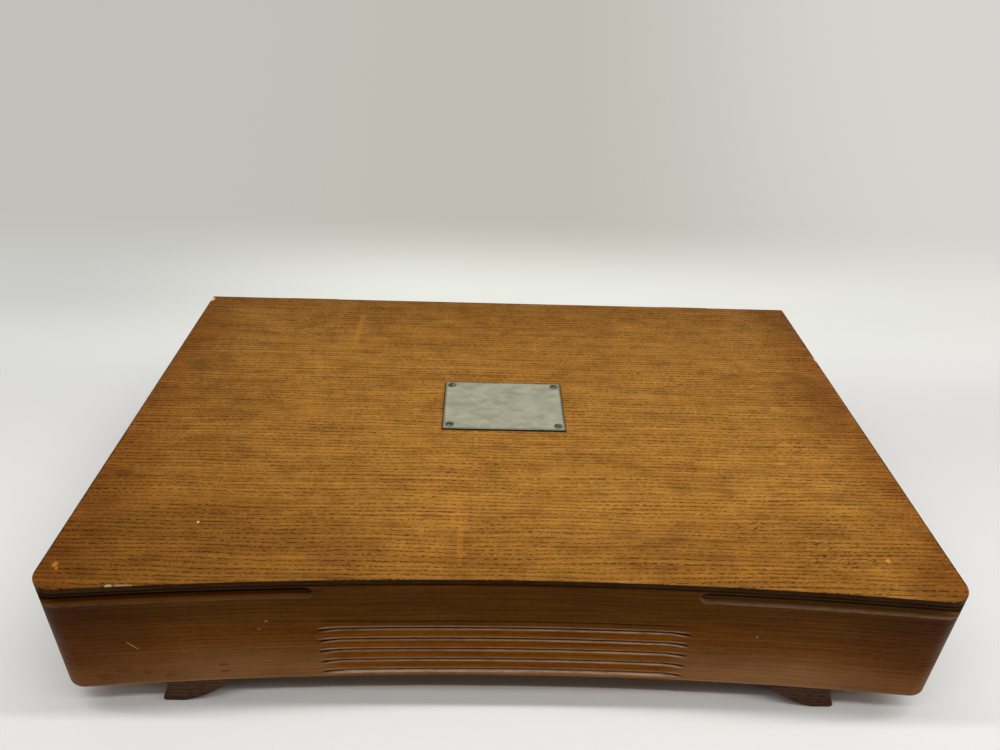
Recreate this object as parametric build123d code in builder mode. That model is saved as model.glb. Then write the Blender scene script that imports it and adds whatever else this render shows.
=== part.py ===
from build123d import *
from math import asin, cos, degrees, radians, sin, sqrt
import os

os.makedirs("parts", exist_ok=True)

# A flat oak silverware chest. X runs along the front, Y from front to back, Z up.
# The origin is on the floor, under the middle of the whole object. Millimetres.

# Case and lid
width = 460.0
depth = 310.0               # from the line through the two sharp front corners to the back
case_height = 69.0
foot_height = 18.0
lid_thickness = 4.0
front_bow = 11.5            # how far the front is hollowed at its middle
corner_radius = 12.0        # the two front corners, in plan
back_corner_radius = 1.5
wall_thickness = 10.0
front_stock = 20.5          # the front board, before its outside is hollowed
base_thickness = 5.0
base_rebate = 5.0           # how far the base is let in under each wall
lid_top_round = 0.6
seam_round = 0.4            # arrises at the seam between lid and case
bottom_round = 1.0
same_place = 0.01           # points nearer than this are on one line
overrun = 1.0               # how far a cutting shape runs past what it cuts

# Finger grooves and reeding on the front
groove_radius = 3.6
groove_sink = 1.0           # the groove's centre line lies this far behind the front
groove_drop = 4.75          # and this far below the case's rim
groove_start = 103.5        # from the middle of the front, and out past the corner by
groove_run_out = 12.0
quirk_count = 5
quirk_pitch = 8.07
quirk_depth = 2.6
quirk_half_width = 3.6
quirk_shoulder = (0.42, 0.32)   # shares of the depth and the half width, at the shoulder
quirk_rise = 4.1            # the lowest quirk, above the bottom of the case
quirk_full = 85.0           # quirks are full depth out to here
quirk_tip = 97.0            # and run out to nothing here, just clear of the front
quirk_tip_clear = 0.2

# Feet
foot_inner_x = 143.5
foot_outer_top_x = 176.5
foot_outer_x = 183.6
foot_sole_x = 171.5
foot_sweep = (155.5, 7.2)   # a point on the swept underside
foot_depth = 22.0
foot_setback = 7.0          # behind the line of the front corners, and before the back
foot_tip_round = 1.6
foot_screw_xs = (157.0, 170.0)
foot_screw_insets = (3.0, 4.0)  # inside the front board and inside the back

# Plaque
plaque_width = 76.8
plaque_height = 53.3
plaque_thickness = 1.2
plaque_y = 162.0            # its centre, behind the line of the front corners
plaque_screw_dx = 34.2
plaque_screw_dy = 22.4
plaque_bevel = 0.3
plaque_screw_rise = 0.4
plaque_screw_crown = 0.3    # the crown's radius as a share of the head

# Hinges
hinge_x = 150.0
hinge_length = 38.0
leaf_thickness = 1.2
leaf_reach = 8.0
leaf_gap = 0.1              # each leaf's face to the seam
knuckle_radius = 2.3
knuckle_count = 5
knuckle_gap = 0.15
pin_radius = 1.1
pin_running = 0.05
tongue_short = 1.5          # the leaf's tongue stops this far before the hinge line
hinge_screw_pitch = 13.0
hinge_screw_inset = 4.0
pin_behind = 2.6            # the hinge line, behind the back of the case

# Lid stay
stay_radius = 32.0          # from the hinge line to both the rivet and the stud
rivet_drop = 3.7            # the rivet, below the seam
stud_gap = 6.4              # rivet to stud with the lid shut
lid_opening = 95.0
arm_half_width = 3.2
arm_thickness = 1.2
arm_x = 207.0               # the arm's inner face
rivet_radius = 1.5
stud_radius = 1.4
slot_clearance = 0.15
slot_end_room = 0.4
arm_end = 1.4               # brass beyond the end of the slot
ear_gap = 0.3
ear_thickness = 1.2
flange_width = 9.0
flange_half_length = 9.0
stay_plate_thickness = 1.2
stay_plate_length = 24.0
stay_plate_height = 11.0
stay_plate_round = 2.0
stay_screw_reach = 8.0
bracket_screw_inset = 5.6
bracket_screw_reach = 5.5
head_thickness = 0.8        # the heads of the rivet and the stud
rivet_head_lip = 1.0
rivet_head_gap = 0.1
stud_head_lip = 0.9
stud_head_gap = 0.2
stud_root = 0.2             # the shank starts this far inside its plate

# Linings and racks
cloth_thickness = 1.5
lid_lining_thickness = 3.0
lid_lining_half = 204.0
lid_lining_margin = 5.0
lid_lining_corner = 4.0
soft_round = 1.2            # the upper arrises of cloth-covered boards
lining_rim_gap = 3.0
lining_cut_margin = 1.0
bay_half_width = 28.0
bay_wall_thickness = 5.0
bay_wall_height = 38.0
rail_height = 30.0
rail_thickness = 12.0
rail_inset = 60.0
notch_count = 6
rail_notch_pitch = 30.0
rail_notch_width = 15.0
rail_notch_depth = 15.0
bar_height = 14.0
bar_thickness = 14.0
bar_inner_x = 8.0
bar_length = 192.0
bar_notch_pitch = 31.0
bar_notch_width = 16.0
bar_notch_depth = 10.0
bar_inset = 48.0            # behind the front wall's inside
ledge_inset = 22.0          # before the back wall's inside
ledge_spacer = 6.0
ledge_reach = 16.0
ledge_gap = 5.5
ledge_lip = 3.0

# Worked out from these
half_width = width / 2
case_bottom = foot_height
seam_z = foot_height + case_height
lid_top = seam_z + lid_thickness
bow_radius = (half_width**2 + front_bow**2) / (2 * front_bow)
corner_reach = bow_radius + corner_radius
corner_x = half_width - corner_radius
corner_y = front_bow - bow_radius + sqrt(corner_reach**2 - corner_x**2)
foremost = corner_y - corner_radius
behind_back = pin_behind + knuckle_radius
back_y = (depth - foremost + behind_back) / 2 - behind_back
front_y = back_y - depth
bow_centre_y = front_y + front_bow - bow_radius
front_inner_y = front_y + front_stock
back_inner_y = back_y - wall_thickness
side_inner_x = half_width - wall_thickness
floor_z = case_bottom + base_thickness
cloth_z = floor_z + cloth_thickness
inner_mid_y = (front_inner_y + back_inner_y) / 2
inner_depth = back_inner_y - front_inner_y
base_half = side_inner_x + base_rebate
base_depth = inner_depth + 2 * base_rebate
hinge_y = back_y + pin_behind
hinge_z = seam_z
plaque_z = lid_top + plaque_thickness

standing = (Align.CENTER, Align.CENTER, Align.MIN)
hanging = (Align.CENTER, Align.CENTER, Align.MAX)
bow_axis = Axis((0, bow_centre_y, 0), (0, 0, 1))


def bow_angle(x):
    """Degrees from the middle of the hollowed front to its point at x."""
    return degrees(asin(x / bow_radius))


def bow_plane(x):
    """The upright plane through the hollow's axis that meets the front at x.

    Its own x is the distance from that axis, and its own y is the height.
    """
    a = radians(bow_angle(x))
    return Plane(
        origin=(0, bow_centre_y, 0),
        x_dir=(sin(a), cos(a), 0),
        z_dir=(cos(a), -sin(a), 0),
    )


def front_plane(y):
    """An upright plane facing the front: its own x is X and its own y is Z."""
    return Plane(origin=(0, y, 0), x_dir=(1, 0, 0), z_dir=(0, -1, 0))


def hollow_outline(back):
    """Plan of the chest from its hollow front to a straight line at back."""
    ThreePointArc((-half_width, front_y), (0, front_y + front_bow), (half_width, front_y))
    Polyline(
        (half_width, front_y),
        (half_width, back),
        (-half_width, back),
        (-half_width, front_y),
    )


def countersunk(head, shank, length, mode=Mode.ADD):
    """A countersunk screw or its hole: flush with the local XY plane, pointing down."""
    Cylinder(shank / 2, length, align=hanging, mode=mode)
    Cone(shank / 2, head / 2, (head - shank) / 2, align=hanging, mode=mode)


def driver_slot(head):
    """The slot across a screw's head."""
    slot_width, slot_depth = 0.14 * head, 0.16 * head
    Box(head + overrun, slot_width, slot_depth, align=hanging, mode=Mode.SUBTRACT)


# Screws and pins: head, shank and length, and where each one goes
foot_screw = (6.0, 3.0, 14.0)
foot_screw_front_y = front_inner_y + foot_screw_insets[0]
foot_screw_back_y = back_inner_y - foot_screw_insets[1]
foot_screw_places = [
    (side * x, y, floor_z)
    for side in (-1, 1)
    for x in foot_screw_xs
    for y in (foot_screw_front_y, foot_screw_back_y)
]
hinge_case_screw = (4.2, 2.0, 12.0)
hinge_lid_screw = (4.2, 2.0, 3.6)
hinge_screw_y = back_y - hinge_screw_inset
hinge_screw_steps = (-hinge_screw_pitch, 0, hinge_screw_pitch)
hinge_screw_xs = [side * hinge_x + step for side in (-1, 1) for step in hinge_screw_steps]
case_leaf_top = seam_z - leaf_gap
lid_leaf_bottom = seam_z + leaf_gap
hinge_case_places = [(x, hinge_screw_y, case_leaf_top) for x in hinge_screw_xs]
hinge_lid_places = [
    Location((x, hinge_screw_y, lid_leaf_bottom), (180, 0, 0)) for x in hinge_screw_xs
]
plaque_screw = (4.6, 2.2, 3.7)
plaque_screw_places = [
    (dx, front_y + plaque_y + dy, plaque_z)
    for dx in (-plaque_screw_dx, plaque_screw_dx)
    for dy in (-plaque_screw_dy, plaque_screw_dy)
]
pin_head = 2.4
pin_shank = 1.4
pin_length = 16.0
pin_head_thickness = 0.6
pin_pitch = 110.0
end_pin_x = 190.0
side_pin_x = side_inner_x + base_rebate / 2
side_pin_ys = [inner_mid_y + step for step in (-pin_pitch, 0, pin_pitch)]
end_pin_xs = (-end_pin_x, -pin_pitch, 0, pin_pitch, end_pin_x)
base_pin_places = [(s * side_pin_x, y, case_bottom) for s in (-1, 1) for y in side_pin_ys]
base_pin_places += [
    (x, y, case_bottom)
    for x in end_pin_xs
    for y in (front_inner_y - base_rebate / 2, back_inner_y + base_rebate / 2)
]


def base_pin(mode=Mode.ADD):
    """A panel pin or its hole: flush with the local XY plane, pointing up."""
    Cylinder(pin_shank / 2, pin_length, align=standing, mode=mode)
    Cylinder(pin_head / 2, pin_head_thickness, align=standing, mode=mode)


# Lid stay geometry. The rivet and the stud lie on one circle round the hinge line,
# so the arm always turns by half as much as the lid. Angles are measured in the
# side view from straight forward, upwards.
rivet_angle = -degrees(asin(rivet_drop / stay_radius))
stud_angle = rivet_angle - 2 * degrees(asin(stud_gap / (2 * stay_radius)))
arm_angle = (rivet_angle + stud_angle) / 2 - 90
open_gap = 2 * stay_radius * sin(radians(lid_opening + rivet_angle - stud_angle) / 2)
arm_length = open_gap + stud_radius + slot_clearance + arm_end


def round_hinge(angle, radius):
    """The Y and Z of a point at an angle and a distance from the hinge line."""
    a = radians(angle)
    return hinge_y - radius * cos(a), hinge_z + radius * sin(a)


rivet_y, rivet_z = round_hinge(rivet_angle, stay_radius)
stud_y, stud_z = round_hinge(stud_angle, stay_radius)
ear_x = arm_x + arm_thickness + ear_gap
stay_plate_x = side_inner_x - stay_plate_thickness
stay_screw = (3.6, 1.8, 7.0)
stay_screw_places = [
    Location((stay_plate_x, stud_y + step, stud_z), (0, -90, 0))
    for step in (-stay_screw_reach, stay_screw_reach)
]
bracket_screw = (3.6, 1.8, 4.2)
bracket_bottom = seam_z - ear_thickness
bracket_screw_places = [
    Location((ear_x + bracket_screw_inset, rivet_y + step, bracket_bottom), (180, 0, 0))
    for step in (-bracket_screw_reach, bracket_screw_reach)
]

# Front wall: one thick oak board, straight inside, hollowed outside, with rounded
# ends, a finger groove to each side under the rim, and reeding in the middle.
with BuildPart() as front_wall:
    with BuildSketch(Plane.XY.offset(case_bottom)) as front_plan:
        with BuildLine():
            hollow_outline(front_inner_y)
        make_face()
        fillet(front_plan.vertices().group_by(Axis.Y)[0], corner_radius)
    extrude(amount=case_height)
    rim = front_wall.faces().sort_by(Axis.Z)[-1].edges()
    fillet(rim.filter_by(lambda e: e.center().Y < front_inner_y - same_place), seam_round)
    hem = front_wall.faces().sort_by(Axis.Z)[0].edges()
    fillet(hem.filter_by(lambda e: e.center().Y < front_inner_y - same_place), bottom_round)
    with Locations((0, inner_mid_y, case_bottom)):
        Box(2 * base_half, base_depth, base_thickness, align=standing, mode=Mode.SUBTRACT)
    # Finger grooves, cut with a round-nosed cutter that follows the hollow
    for side in (-1, 1):
        groove_at = (bow_radius + groove_sink, seam_z - groove_drop)
        with BuildSketch(bow_plane(side * groove_start)):
            with Locations(groove_at):
                Circle(groove_radius)
        groove_turn = bow_angle(half_width + groove_run_out) - bow_angle(groove_start)
        revolve(axis=bow_axis, revolution_arc=-side * groove_turn, mode=Mode.SUBTRACT)
        with Locations(bow_plane(side * groove_start).from_local_coords((*groove_at, 0))):
            Sphere(groove_radius, mode=Mode.SUBTRACT)
    # Reeding: quirks with rounded shoulders, which run out to a point at each end
    quirk_zs = [case_bottom + quirk_rise + i * quirk_pitch for i in range(quirk_count)]
    for z in quirk_zs:
        mouth = (bow_radius - overrun, z)
        root = (bow_radius + quirk_depth, z)
        shoulder_at = bow_radius + quirk_shoulder[0] * quirk_depth
        shoulder_rise = quirk_shoulder[1] * quirk_half_width
        with BuildSketch(bow_plane(quirk_full)) as quirk:
            with BuildLine():
                top = (bow_radius, z + quirk_half_width)
                bottom = (bow_radius, z - quirk_half_width)
                ThreePointArc(top, (shoulder_at, z + shoulder_rise), root)
                ThreePointArc(root, (shoulder_at, z - shoulder_rise), bottom)
                Polyline(bottom, (mouth[0], bottom[1]), (mouth[0], top[1]), top)
            make_face()
        right_end = quirk.sketch.face()
        left_end = right_end.mirror(Plane.YZ)
        revolve(axis=bow_axis, revolution_arc=2 * bow_angle(quirk_full), mode=Mode.SUBTRACT)
        for side, end in ((1, right_end), (-1, left_end)):
            tip_radius = bow_radius - quirk_tip_clear
            tip_at = bow_plane(side * quirk_tip).from_local_coords((tip_radius, z, 0))
            loft([end, Vertex(*tip_at)], mode=Mode.SUBTRACT)
    with Locations(*base_pin_places):
        base_pin(Mode.SUBTRACT)
front_wall.part.label = "front_wall"
export_step(front_wall.part, "parts/front_wall.step")

# Side walls: plain oak boards between the front board and the back of the case
for side, side_name in ((-1, "left_wall"), (1, "right_wall")):
    with BuildPart() as side_wall:
        with BuildSketch(Plane.XY.offset(case_bottom)) as side_plan:
            with Locations((side * (half_width - wall_thickness / 2), front_inner_y)):
                Rectangle(
                    wall_thickness,
                    back_y - front_inner_y,
                    align=(Align.CENTER, Align.MIN),
                )
            back_corners = side_plan.vertices().group_by(Axis.Y)[-1]
            fillet(back_corners.sort_by(Axis.X)[0 if side < 0 else -1], back_corner_radius)
        extrude(amount=case_height)
        outside = side_wall.faces().sort_by(Axis.X)[0 if side < 0 else -1].edges()
        fillet(outside.group_by(Axis.Z)[-1], seam_round)
        outside = side_wall.faces().sort_by(Axis.X)[0 if side < 0 else -1].edges()
        fillet(outside.group_by(Axis.Z)[0], bottom_round)
        with Locations((0, inner_mid_y, case_bottom)):
            Box(
                2 * base_half,
                base_depth,
                base_thickness,
                align=standing,
                mode=Mode.SUBTRACT,
            )
        with Locations(*base_pin_places):
            base_pin(Mode.SUBTRACT)
        if side > 0:
            with Locations(*stay_screw_places):
                countersunk(*stay_screw, mode=Mode.SUBTRACT)
    side_wall.part.label = side_name
    export_step(side_wall.part, f"parts/{side_name}.step")

# Back wall: set between the side walls, with its rim let down for the hinge leaves
with BuildPart() as back_wall:
    with Locations((0, back_inner_y, case_bottom)):
        Box(
            2 * side_inner_x,
            wall_thickness,
            case_height,
            align=(Align.CENTER, Align.MIN, Align.MIN),
        )
    with Locations((0, inner_mid_y, case_bottom)):
        Box(2 * base_half, base_depth, base_thickness, align=standing, mode=Mode.SUBTRACT)
    with Locations(*[(side * hinge_x, back_y - leaf_reach, seam_z) for side in (-1, 1)]):
        Box(
            hinge_length,
            leaf_reach,
            leaf_thickness + leaf_gap,
            align=(Align.CENTER, Align.MIN, Align.MAX),
            mode=Mode.SUBTRACT,
        )
    with Locations(*hinge_case_places):
        countersunk(*hinge_case_screw, mode=Mode.SUBTRACT)
    with Locations(*base_pin_places):
        base_pin(Mode.SUBTRACT)
back_wall.part.label = "back_wall"
export_step(back_wall.part, "parts/back_wall.step")

# Base: thin plywood let in under the walls, pinned from below
with BuildPart() as base_panel:
    with Locations((0, inner_mid_y, case_bottom)):
        Box(2 * base_half, base_depth, base_thickness, align=standing)
    with Locations(*base_pin_places):
        base_pin(Mode.SUBTRACT)
    with Locations(*foot_screw_places):
        countersunk(*foot_screw, mode=Mode.SUBTRACT)
base_panel.part.label = "base_panel"
export_step(base_panel.part, "parts/base_panel.step")

with BuildPart() as base_pins:
    with Locations(*base_pin_places):
        base_pin()
base_pins.part.label = "base_pins"
export_step(base_pins.part, "parts/base_pins.step")

# Feet: short blocks whose underside sweeps up towards the middle of the chest
for end_name, foot_y in (
    ("front", front_y + foot_setback),
    ("rear", back_y - foot_setback - foot_depth),
):
    for side, side_name in ((-1, "left"), (1, "right")):
        with BuildPart() as foot:
            with BuildSketch(front_plane(foot_y)) as foot_face:
                with BuildLine():
                    Polyline(
                        (side * foot_inner_x, foot_height),
                        (side * foot_outer_top_x, foot_height),
                        (side * foot_outer_x, 0),
                        (side * foot_sole_x, 0),
                    )
                    ThreePointArc(
                        (side * foot_sole_x, 0),
                        (side * foot_sweep[0], foot_sweep[1]),
                        (side * foot_inner_x, foot_height),
                    )
                make_face()
                tip = foot_face.vertices().sort_by(Axis.X)[0 if side < 0 else -1]
                fillet(tip, foot_tip_round)
            extrude(amount=-foot_depth)
            with Locations(*foot_screw_places):
                countersunk(*foot_screw, mode=Mode.SUBTRACT)
        foot.part.label = f"foot_{end_name}_{side_name}"
        export_step(foot.part, f"parts/foot_{end_name}_{side_name}.step")

with BuildPart() as foot_screws:
    with Locations(*foot_screw_places):
        countersunk(*foot_screw)
        driver_slot(foot_screw[0])
foot_screws.part.label = "foot_screws"
export_step(foot_screws.part, "parts/foot_screws.step")

# Linings: card covered in cloth, on the base and round the walls
with BuildPart() as base_lining:
    with Locations((0, inner_mid_y, floor_z)):
        Box(2 * side_inner_x, inner_depth, cloth_thickness, align=standing)
base_lining.part.label = "base_lining"
export_step(base_lining.part, "parts/base_lining.step")

lining_height = seam_z - lining_rim_gap - cloth_z
for lining_name, lining_y in (
    ("front_lining", front_inner_y + cloth_thickness / 2),
    ("back_lining", back_inner_y - cloth_thickness / 2),
):
    with BuildPart() as wall_lining:
        with Locations((0, lining_y, cloth_z)):
            Box(2 * side_inner_x, cloth_thickness, lining_height, align=standing)
    wall_lining.part.label = lining_name
    export_step(wall_lining.part, f"parts/{lining_name}.step")

for side, lining_name in ((-1, "left_lining"), (1, "right_lining")):
    with BuildPart() as wall_lining:
        with Locations((side * (side_inner_x - cloth_thickness / 2), inner_mid_y, cloth_z)):
            Box(
                cloth_thickness,
                inner_depth - 2 * cloth_thickness,
                lining_height,
                align=standing,
            )
        if side > 0:
            # Cut away round the plate of the lid stay
            cut_bottom = stud_z - stay_plate_height / 2 - lining_cut_margin
            with Locations((side_inner_x, stud_y, cut_bottom)):
                Box(
                    4 * cloth_thickness,
                    stay_plate_length + 2 * lining_cut_margin,
                    lining_height,
                    align=standing,
                    mode=Mode.SUBTRACT,
                )
    wall_lining.part.label = lining_name
    export_step(wall_lining.part, f"parts/{lining_name}.step")

# Centre bay for serving pieces: two low boards from front to back
bay_wall_length = inner_depth - 2 * cloth_thickness
for side, bay_name in ((-1, "bay_wall_left"), (1, "bay_wall_right")):
    with BuildPart() as bay_wall:
        bay_wall_x = side * (bay_half_width + bay_wall_thickness / 2)
        with Locations((bay_wall_x, inner_mid_y, cloth_z)):
            Box(bay_wall_thickness, bay_wall_length, bay_wall_height, align=standing)
        fillet(bay_wall.faces().sort_by(Axis.Z)[-1].edges().filter_by(Axis.Y), soft_round)
    bay_wall.part.label = bay_name
    export_step(bay_wall.part, f"parts/{bay_name}.step")

# Fork and spoon rails: notched boards from the bay walls to the side linings
rail_inner_x = bay_half_width + bay_wall_thickness
rail_outer_x = side_inner_x - cloth_thickness
rail_mid_x = (rail_inner_x + rail_outer_x) / 2
rail_top = cloth_z + rail_height
rail_front_y = front_inner_y + cloth_thickness + rail_inset
rail_rear_y = back_inner_y - cloth_thickness - rail_inset - rail_thickness
rail_notch_xs = [
    rail_mid_x + (i - (notch_count - 1) / 2) * rail_notch_pitch for i in range(notch_count)
]
for end_name, rail_y in (("front", rail_front_y), ("rear", rail_rear_y)):
    for side, side_name in ((-1, "left"), (1, "right")):
        with BuildPart() as rail:
            with BuildSketch(front_plane(rail_y)):
                with Locations((side * rail_mid_x, cloth_z)):
                    Rectangle(
                        rail_outer_x - rail_inner_x,
                        rail_height,
                        align=(Align.CENTER, Align.MIN),
                    )
                notch_round_z = rail_top - rail_notch_depth + rail_notch_width / 2
                with Locations(*[(side * x, notch_round_z) for x in rail_notch_xs]):
                    Circle(rail_notch_width / 2, mode=Mode.SUBTRACT)
                    Rectangle(
                        rail_notch_width,
                        rail_notch_depth,
                        align=(Align.CENTER, Align.MIN),
                        mode=Mode.SUBTRACT,
                    )
            extrude(amount=-rail_thickness)
        rail.part.label = f"rail_{end_name}_{side_name}"
        export_step(rail.part, f"parts/rail_{end_name}_{side_name}.step")

# Lid: one thin veneered board, flush with the case all round
with BuildPart() as lid_panel:
    with BuildSketch(Plane.XY.offset(seam_z)) as lid_plan:
        with BuildLine():
            hollow_outline(back_y)
        make_face()
        fillet(lid_plan.vertices().group_by(Axis.Y)[0], corner_radius)
        fillet(lid_plan.vertices().group_by(Axis.Y)[-1], back_corner_radius)
    extrude(amount=lid_thickness)
    fillet(lid_panel.faces().sort_by(Axis.Z)[-1].edges(), lid_top_round)
    fillet(lid_panel.faces().sort_by(Axis.Z)[0].edges(), seam_round)
    with Locations(*[(side * hinge_x, back_y - leaf_reach, seam_z) for side in (-1, 1)]):
        Box(
            hinge_length,
            leaf_reach + overrun,
            leaf_thickness + leaf_gap,
            align=(Align.CENTER, Align.MIN, Align.MIN),
            mode=Mode.SUBTRACT,
        )
    with Locations(*hinge_lid_places):
        countersunk(*hinge_lid_screw, mode=Mode.SUBTRACT)
    with Locations(*bracket_screw_places):
        countersunk(*bracket_screw, mode=Mode.SUBTRACT)
    with Locations(*plaque_screw_places):
        countersunk(*plaque_screw, mode=Mode.SUBTRACT)
lid_panel.part.label = "lid_panel"
export_step(lid_panel.part, "parts/lid_panel.step")

# Plaque: a thin metal plate in the middle of the lid, held by four screws
with BuildPart() as plaque:
    with Locations((0, front_y + plaque_y, lid_top)):
        Box(plaque_width, plaque_height, plaque_thickness, align=standing)
    chamfer(plaque.faces().sort_by(Axis.Z)[-1].edges(), plaque_bevel)
    with Locations(*plaque_screw_places):
        countersunk(*plaque_screw, mode=Mode.SUBTRACT)
plaque.part.label = "plaque"
export_step(plaque.part, "parts/plaque.step")

with BuildPart() as plaque_screws:
    with Locations(*plaque_screw_places):
        countersunk(*plaque_screw)
        crown = plaque_screw_crown * plaque_screw[0]
        Cone(plaque_screw[0] / 2, crown, plaque_screw_rise, align=standing)
    with Locations(*[(x, y, z + plaque_screw_rise) for x, y, z in plaque_screw_places]):
        driver_slot(plaque_screw[0])
plaque_screws.part.label = "plaque_screws"
export_step(plaque_screws.part, "parts/plaque_screws.step")

# Lid lining: a padded board that drops just inside the walls
with BuildPart() as lid_lining:
    with Locations((0, inner_mid_y, seam_z)):
        Box(
            2 * lid_lining_half,
            inner_depth - 2 * lid_lining_margin,
            lid_lining_thickness,
            align=hanging,
        )
    fillet(lid_lining.edges().filter_by(Axis.Z), lid_lining_corner)
    fillet(lid_lining.faces().sort_by(Axis.Z)[0].edges(), soft_round)
lid_lining.part.label = "lid_lining"
export_step(lid_lining.part, "parts/lid_lining.step")

# Knife rack in the lid: notched bars for the handles, and a pocket strip for the blades
bar_top = seam_z - lid_lining_thickness
bar_y = front_inner_y + bar_inset
bar_mid_x = bar_inner_x + bar_length / 2
bar_notch_xs = [
    bar_mid_x + (i - (notch_count - 1) / 2) * bar_notch_pitch for i in range(notch_count)
]
for side, side_name in ((-1, "left"), (1, "right")):
    with BuildPart() as handle_bar:
        with BuildSketch(front_plane(bar_y)):
            with Locations((side * bar_mid_x, bar_top)):
                Rectangle(bar_length, bar_height, align=(Align.CENTER, Align.MAX))
            notch_round_z = bar_top - bar_height + bar_notch_depth - bar_notch_width / 2
            with Locations(*[(side * x, notch_round_z) for x in bar_notch_xs]):
                Circle(bar_notch_width / 2, mode=Mode.SUBTRACT)
                Rectangle(
                    bar_notch_width,
                    bar_notch_depth,
                    align=(Align.CENTER, Align.MAX),
                    mode=Mode.SUBTRACT,
                )
        extrude(amount=-bar_thickness)
    handle_bar.part.label = f"handle_bar_{side_name}"
    export_step(handle_bar.part, f"parts/handle_bar_{side_name}.step")

ledge_back = back_inner_y - ledge_inset
ledge_bottom = bar_top - ledge_gap - ledge_lip
for side, side_name in ((-1, "left"), (1, "right")):
    with BuildPart() as blade_ledge:
        ledge_left = bar_inner_x if side > 0 else -bar_inner_x - bar_length
        with BuildSketch(Plane.YZ.offset(ledge_left)):
            with BuildLine():
                Polyline(
                    (ledge_back, bar_top),
                    (ledge_back, ledge_bottom),
                    (ledge_back - ledge_reach, ledge_bottom),
                    (ledge_back - ledge_reach, ledge_bottom + ledge_lip),
                    (ledge_back - ledge_spacer, ledge_bottom + ledge_lip),
                    (ledge_back - ledge_spacer, bar_top),
                    close=True,
                )
            make_face()
        extrude(amount=bar_length)
    blade_ledge.part.label = f"blade_ledge_{side_name}"
    export_step(blade_ledge.part, f"parts/blade_ledge_{side_name}.step")

# Hinges: brass butts with five knuckles, three on the case leaf and two on the lid leaf
knuckle_pitch = hinge_length / knuckle_count


def hinge_leaf(centre_x, plate_bottom, knuckles, bore_radius):
    """One leaf: a plate let into the wood, and its own knuckles round the hinge line."""
    with Locations((centre_x, back_y - leaf_reach, plate_bottom)):
        Box(
            hinge_length,
            leaf_reach,
            leaf_thickness,
            align=(Align.CENTER, Align.MIN, Align.MIN),
        )
    for i in knuckles:
        x = centre_x - hinge_length / 2 + (i + 0.5) * knuckle_pitch
        length = knuckle_pitch - knuckle_gap
        with Locations((x, back_y, plate_bottom)):
            Box(
                length,
                pin_behind - tongue_short,
                leaf_thickness,
                align=(Align.CENTER, Align.MIN, Align.MIN),
            )
        with Locations(Location((x, hinge_y, hinge_z), (0, 90, 0))):
            Cylinder(knuckle_radius, length)
            Cylinder(bore_radius, length + overrun, mode=Mode.SUBTRACT)


for side, side_name in ((-1, "left"), (1, "right")):
    with BuildPart() as case_leaf:
        case_knuckles = range(0, knuckle_count, 2)
        hinge_leaf(side * hinge_x, case_leaf_top - leaf_thickness, case_knuckles, pin_radius)
        with Locations(*hinge_case_places):
            countersunk(*hinge_case_screw, mode=Mode.SUBTRACT)
    case_leaf.part.label = f"hinge_{side_name}_case_leaf"
    export_step(case_leaf.part, f"parts/hinge_{side_name}_case_leaf.step")

    with BuildPart() as lid_leaf:
        lid_knuckles = range(1, knuckle_count, 2)
        hinge_leaf(side * hinge_x, lid_leaf_bottom, lid_knuckles, pin_radius + pin_running)
        with Locations(*hinge_lid_places):
            countersunk(*hinge_lid_screw, mode=Mode.SUBTRACT)
    lid_leaf.part.label = f"hinge_{side_name}_lid_leaf"
    export_step(lid_leaf.part, f"parts/hinge_{side_name}_lid_leaf.step")

    with BuildPart() as hinge_pin:
        with Locations(Location((side * hinge_x, hinge_y, hinge_z), (0, 90, 0))):
            Cylinder(pin_radius, hinge_length)
    hinge_pin.part.label = f"hinge_{side_name}_pin"
    export_step(hinge_pin.part, f"parts/hinge_{side_name}_pin.step")

with BuildPart() as hinge_case_screws:
    with Locations(*hinge_case_places):
        countersunk(*hinge_case_screw)
        driver_slot(hinge_case_screw[0])
hinge_case_screws.part.label = "hinge_case_screws"
export_step(hinge_case_screws.part, "parts/hinge_case_screws.step")

with BuildPart() as hinge_lid_screws:
    with Locations(*hinge_lid_places):
        countersunk(*hinge_lid_screw)
        driver_slot(hinge_lid_screw[0])
hinge_lid_screws.part.label = "hinge_lid_screws"
export_step(hinge_lid_screws.part, "parts/hinge_lid_screws.step")

# Lid stay: a slotted brass arm, riveted to a bracket on the lid, slides on a stud
stay_direction = (0, -cos(radians(arm_angle)), sin(radians(arm_angle)))
arm_plane = Plane(origin=(arm_x, rivet_y, rivet_z), x_dir=stay_direction, z_dir=(1, 0, 0))
with BuildPart() as stay_arm:
    with BuildSketch(arm_plane):
        with Locations((arm_length / 2, 0)):
            SlotCenterToCenter(arm_length, 2 * arm_half_width)
        with Locations(((stud_gap + open_gap) / 2, 0)):
            SlotCenterToCenter(
                open_gap - stud_gap + slot_end_room,
                2 * (stud_radius + slot_clearance),
                mode=Mode.SUBTRACT,
            )
        Circle(rivet_radius + pin_running, mode=Mode.SUBTRACT)
    extrude(amount=arm_thickness)
stay_arm.part.label = "stay_arm"
export_step(stay_arm.part, "parts/stay_arm.step")

with BuildPart() as stay_bracket:
    with Locations((ear_x, rivet_y, seam_z)):
        Box(
            flange_width,
            2 * flange_half_length,
            ear_thickness,
            align=(Align.MIN, Align.CENTER, Align.MAX),
        )
        Box(
            ear_thickness,
            2 * arm_half_width,
            rivet_drop,
            align=(Align.MIN, Align.CENTER, Align.MAX),
        )
    ear_middle = (ear_x + ear_thickness / 2, rivet_y, rivet_z)
    with Locations(Location(ear_middle, (0, 90, 0))):
        Cylinder(arm_half_width, ear_thickness)
        Cylinder(rivet_radius, 2 * ear_thickness, mode=Mode.SUBTRACT)
    with Locations(*bracket_screw_places):
        countersunk(*bracket_screw, mode=Mode.SUBTRACT)
stay_bracket.part.label = "stay_bracket"
export_step(stay_bracket.part, "parts/stay_bracket.step")

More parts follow.
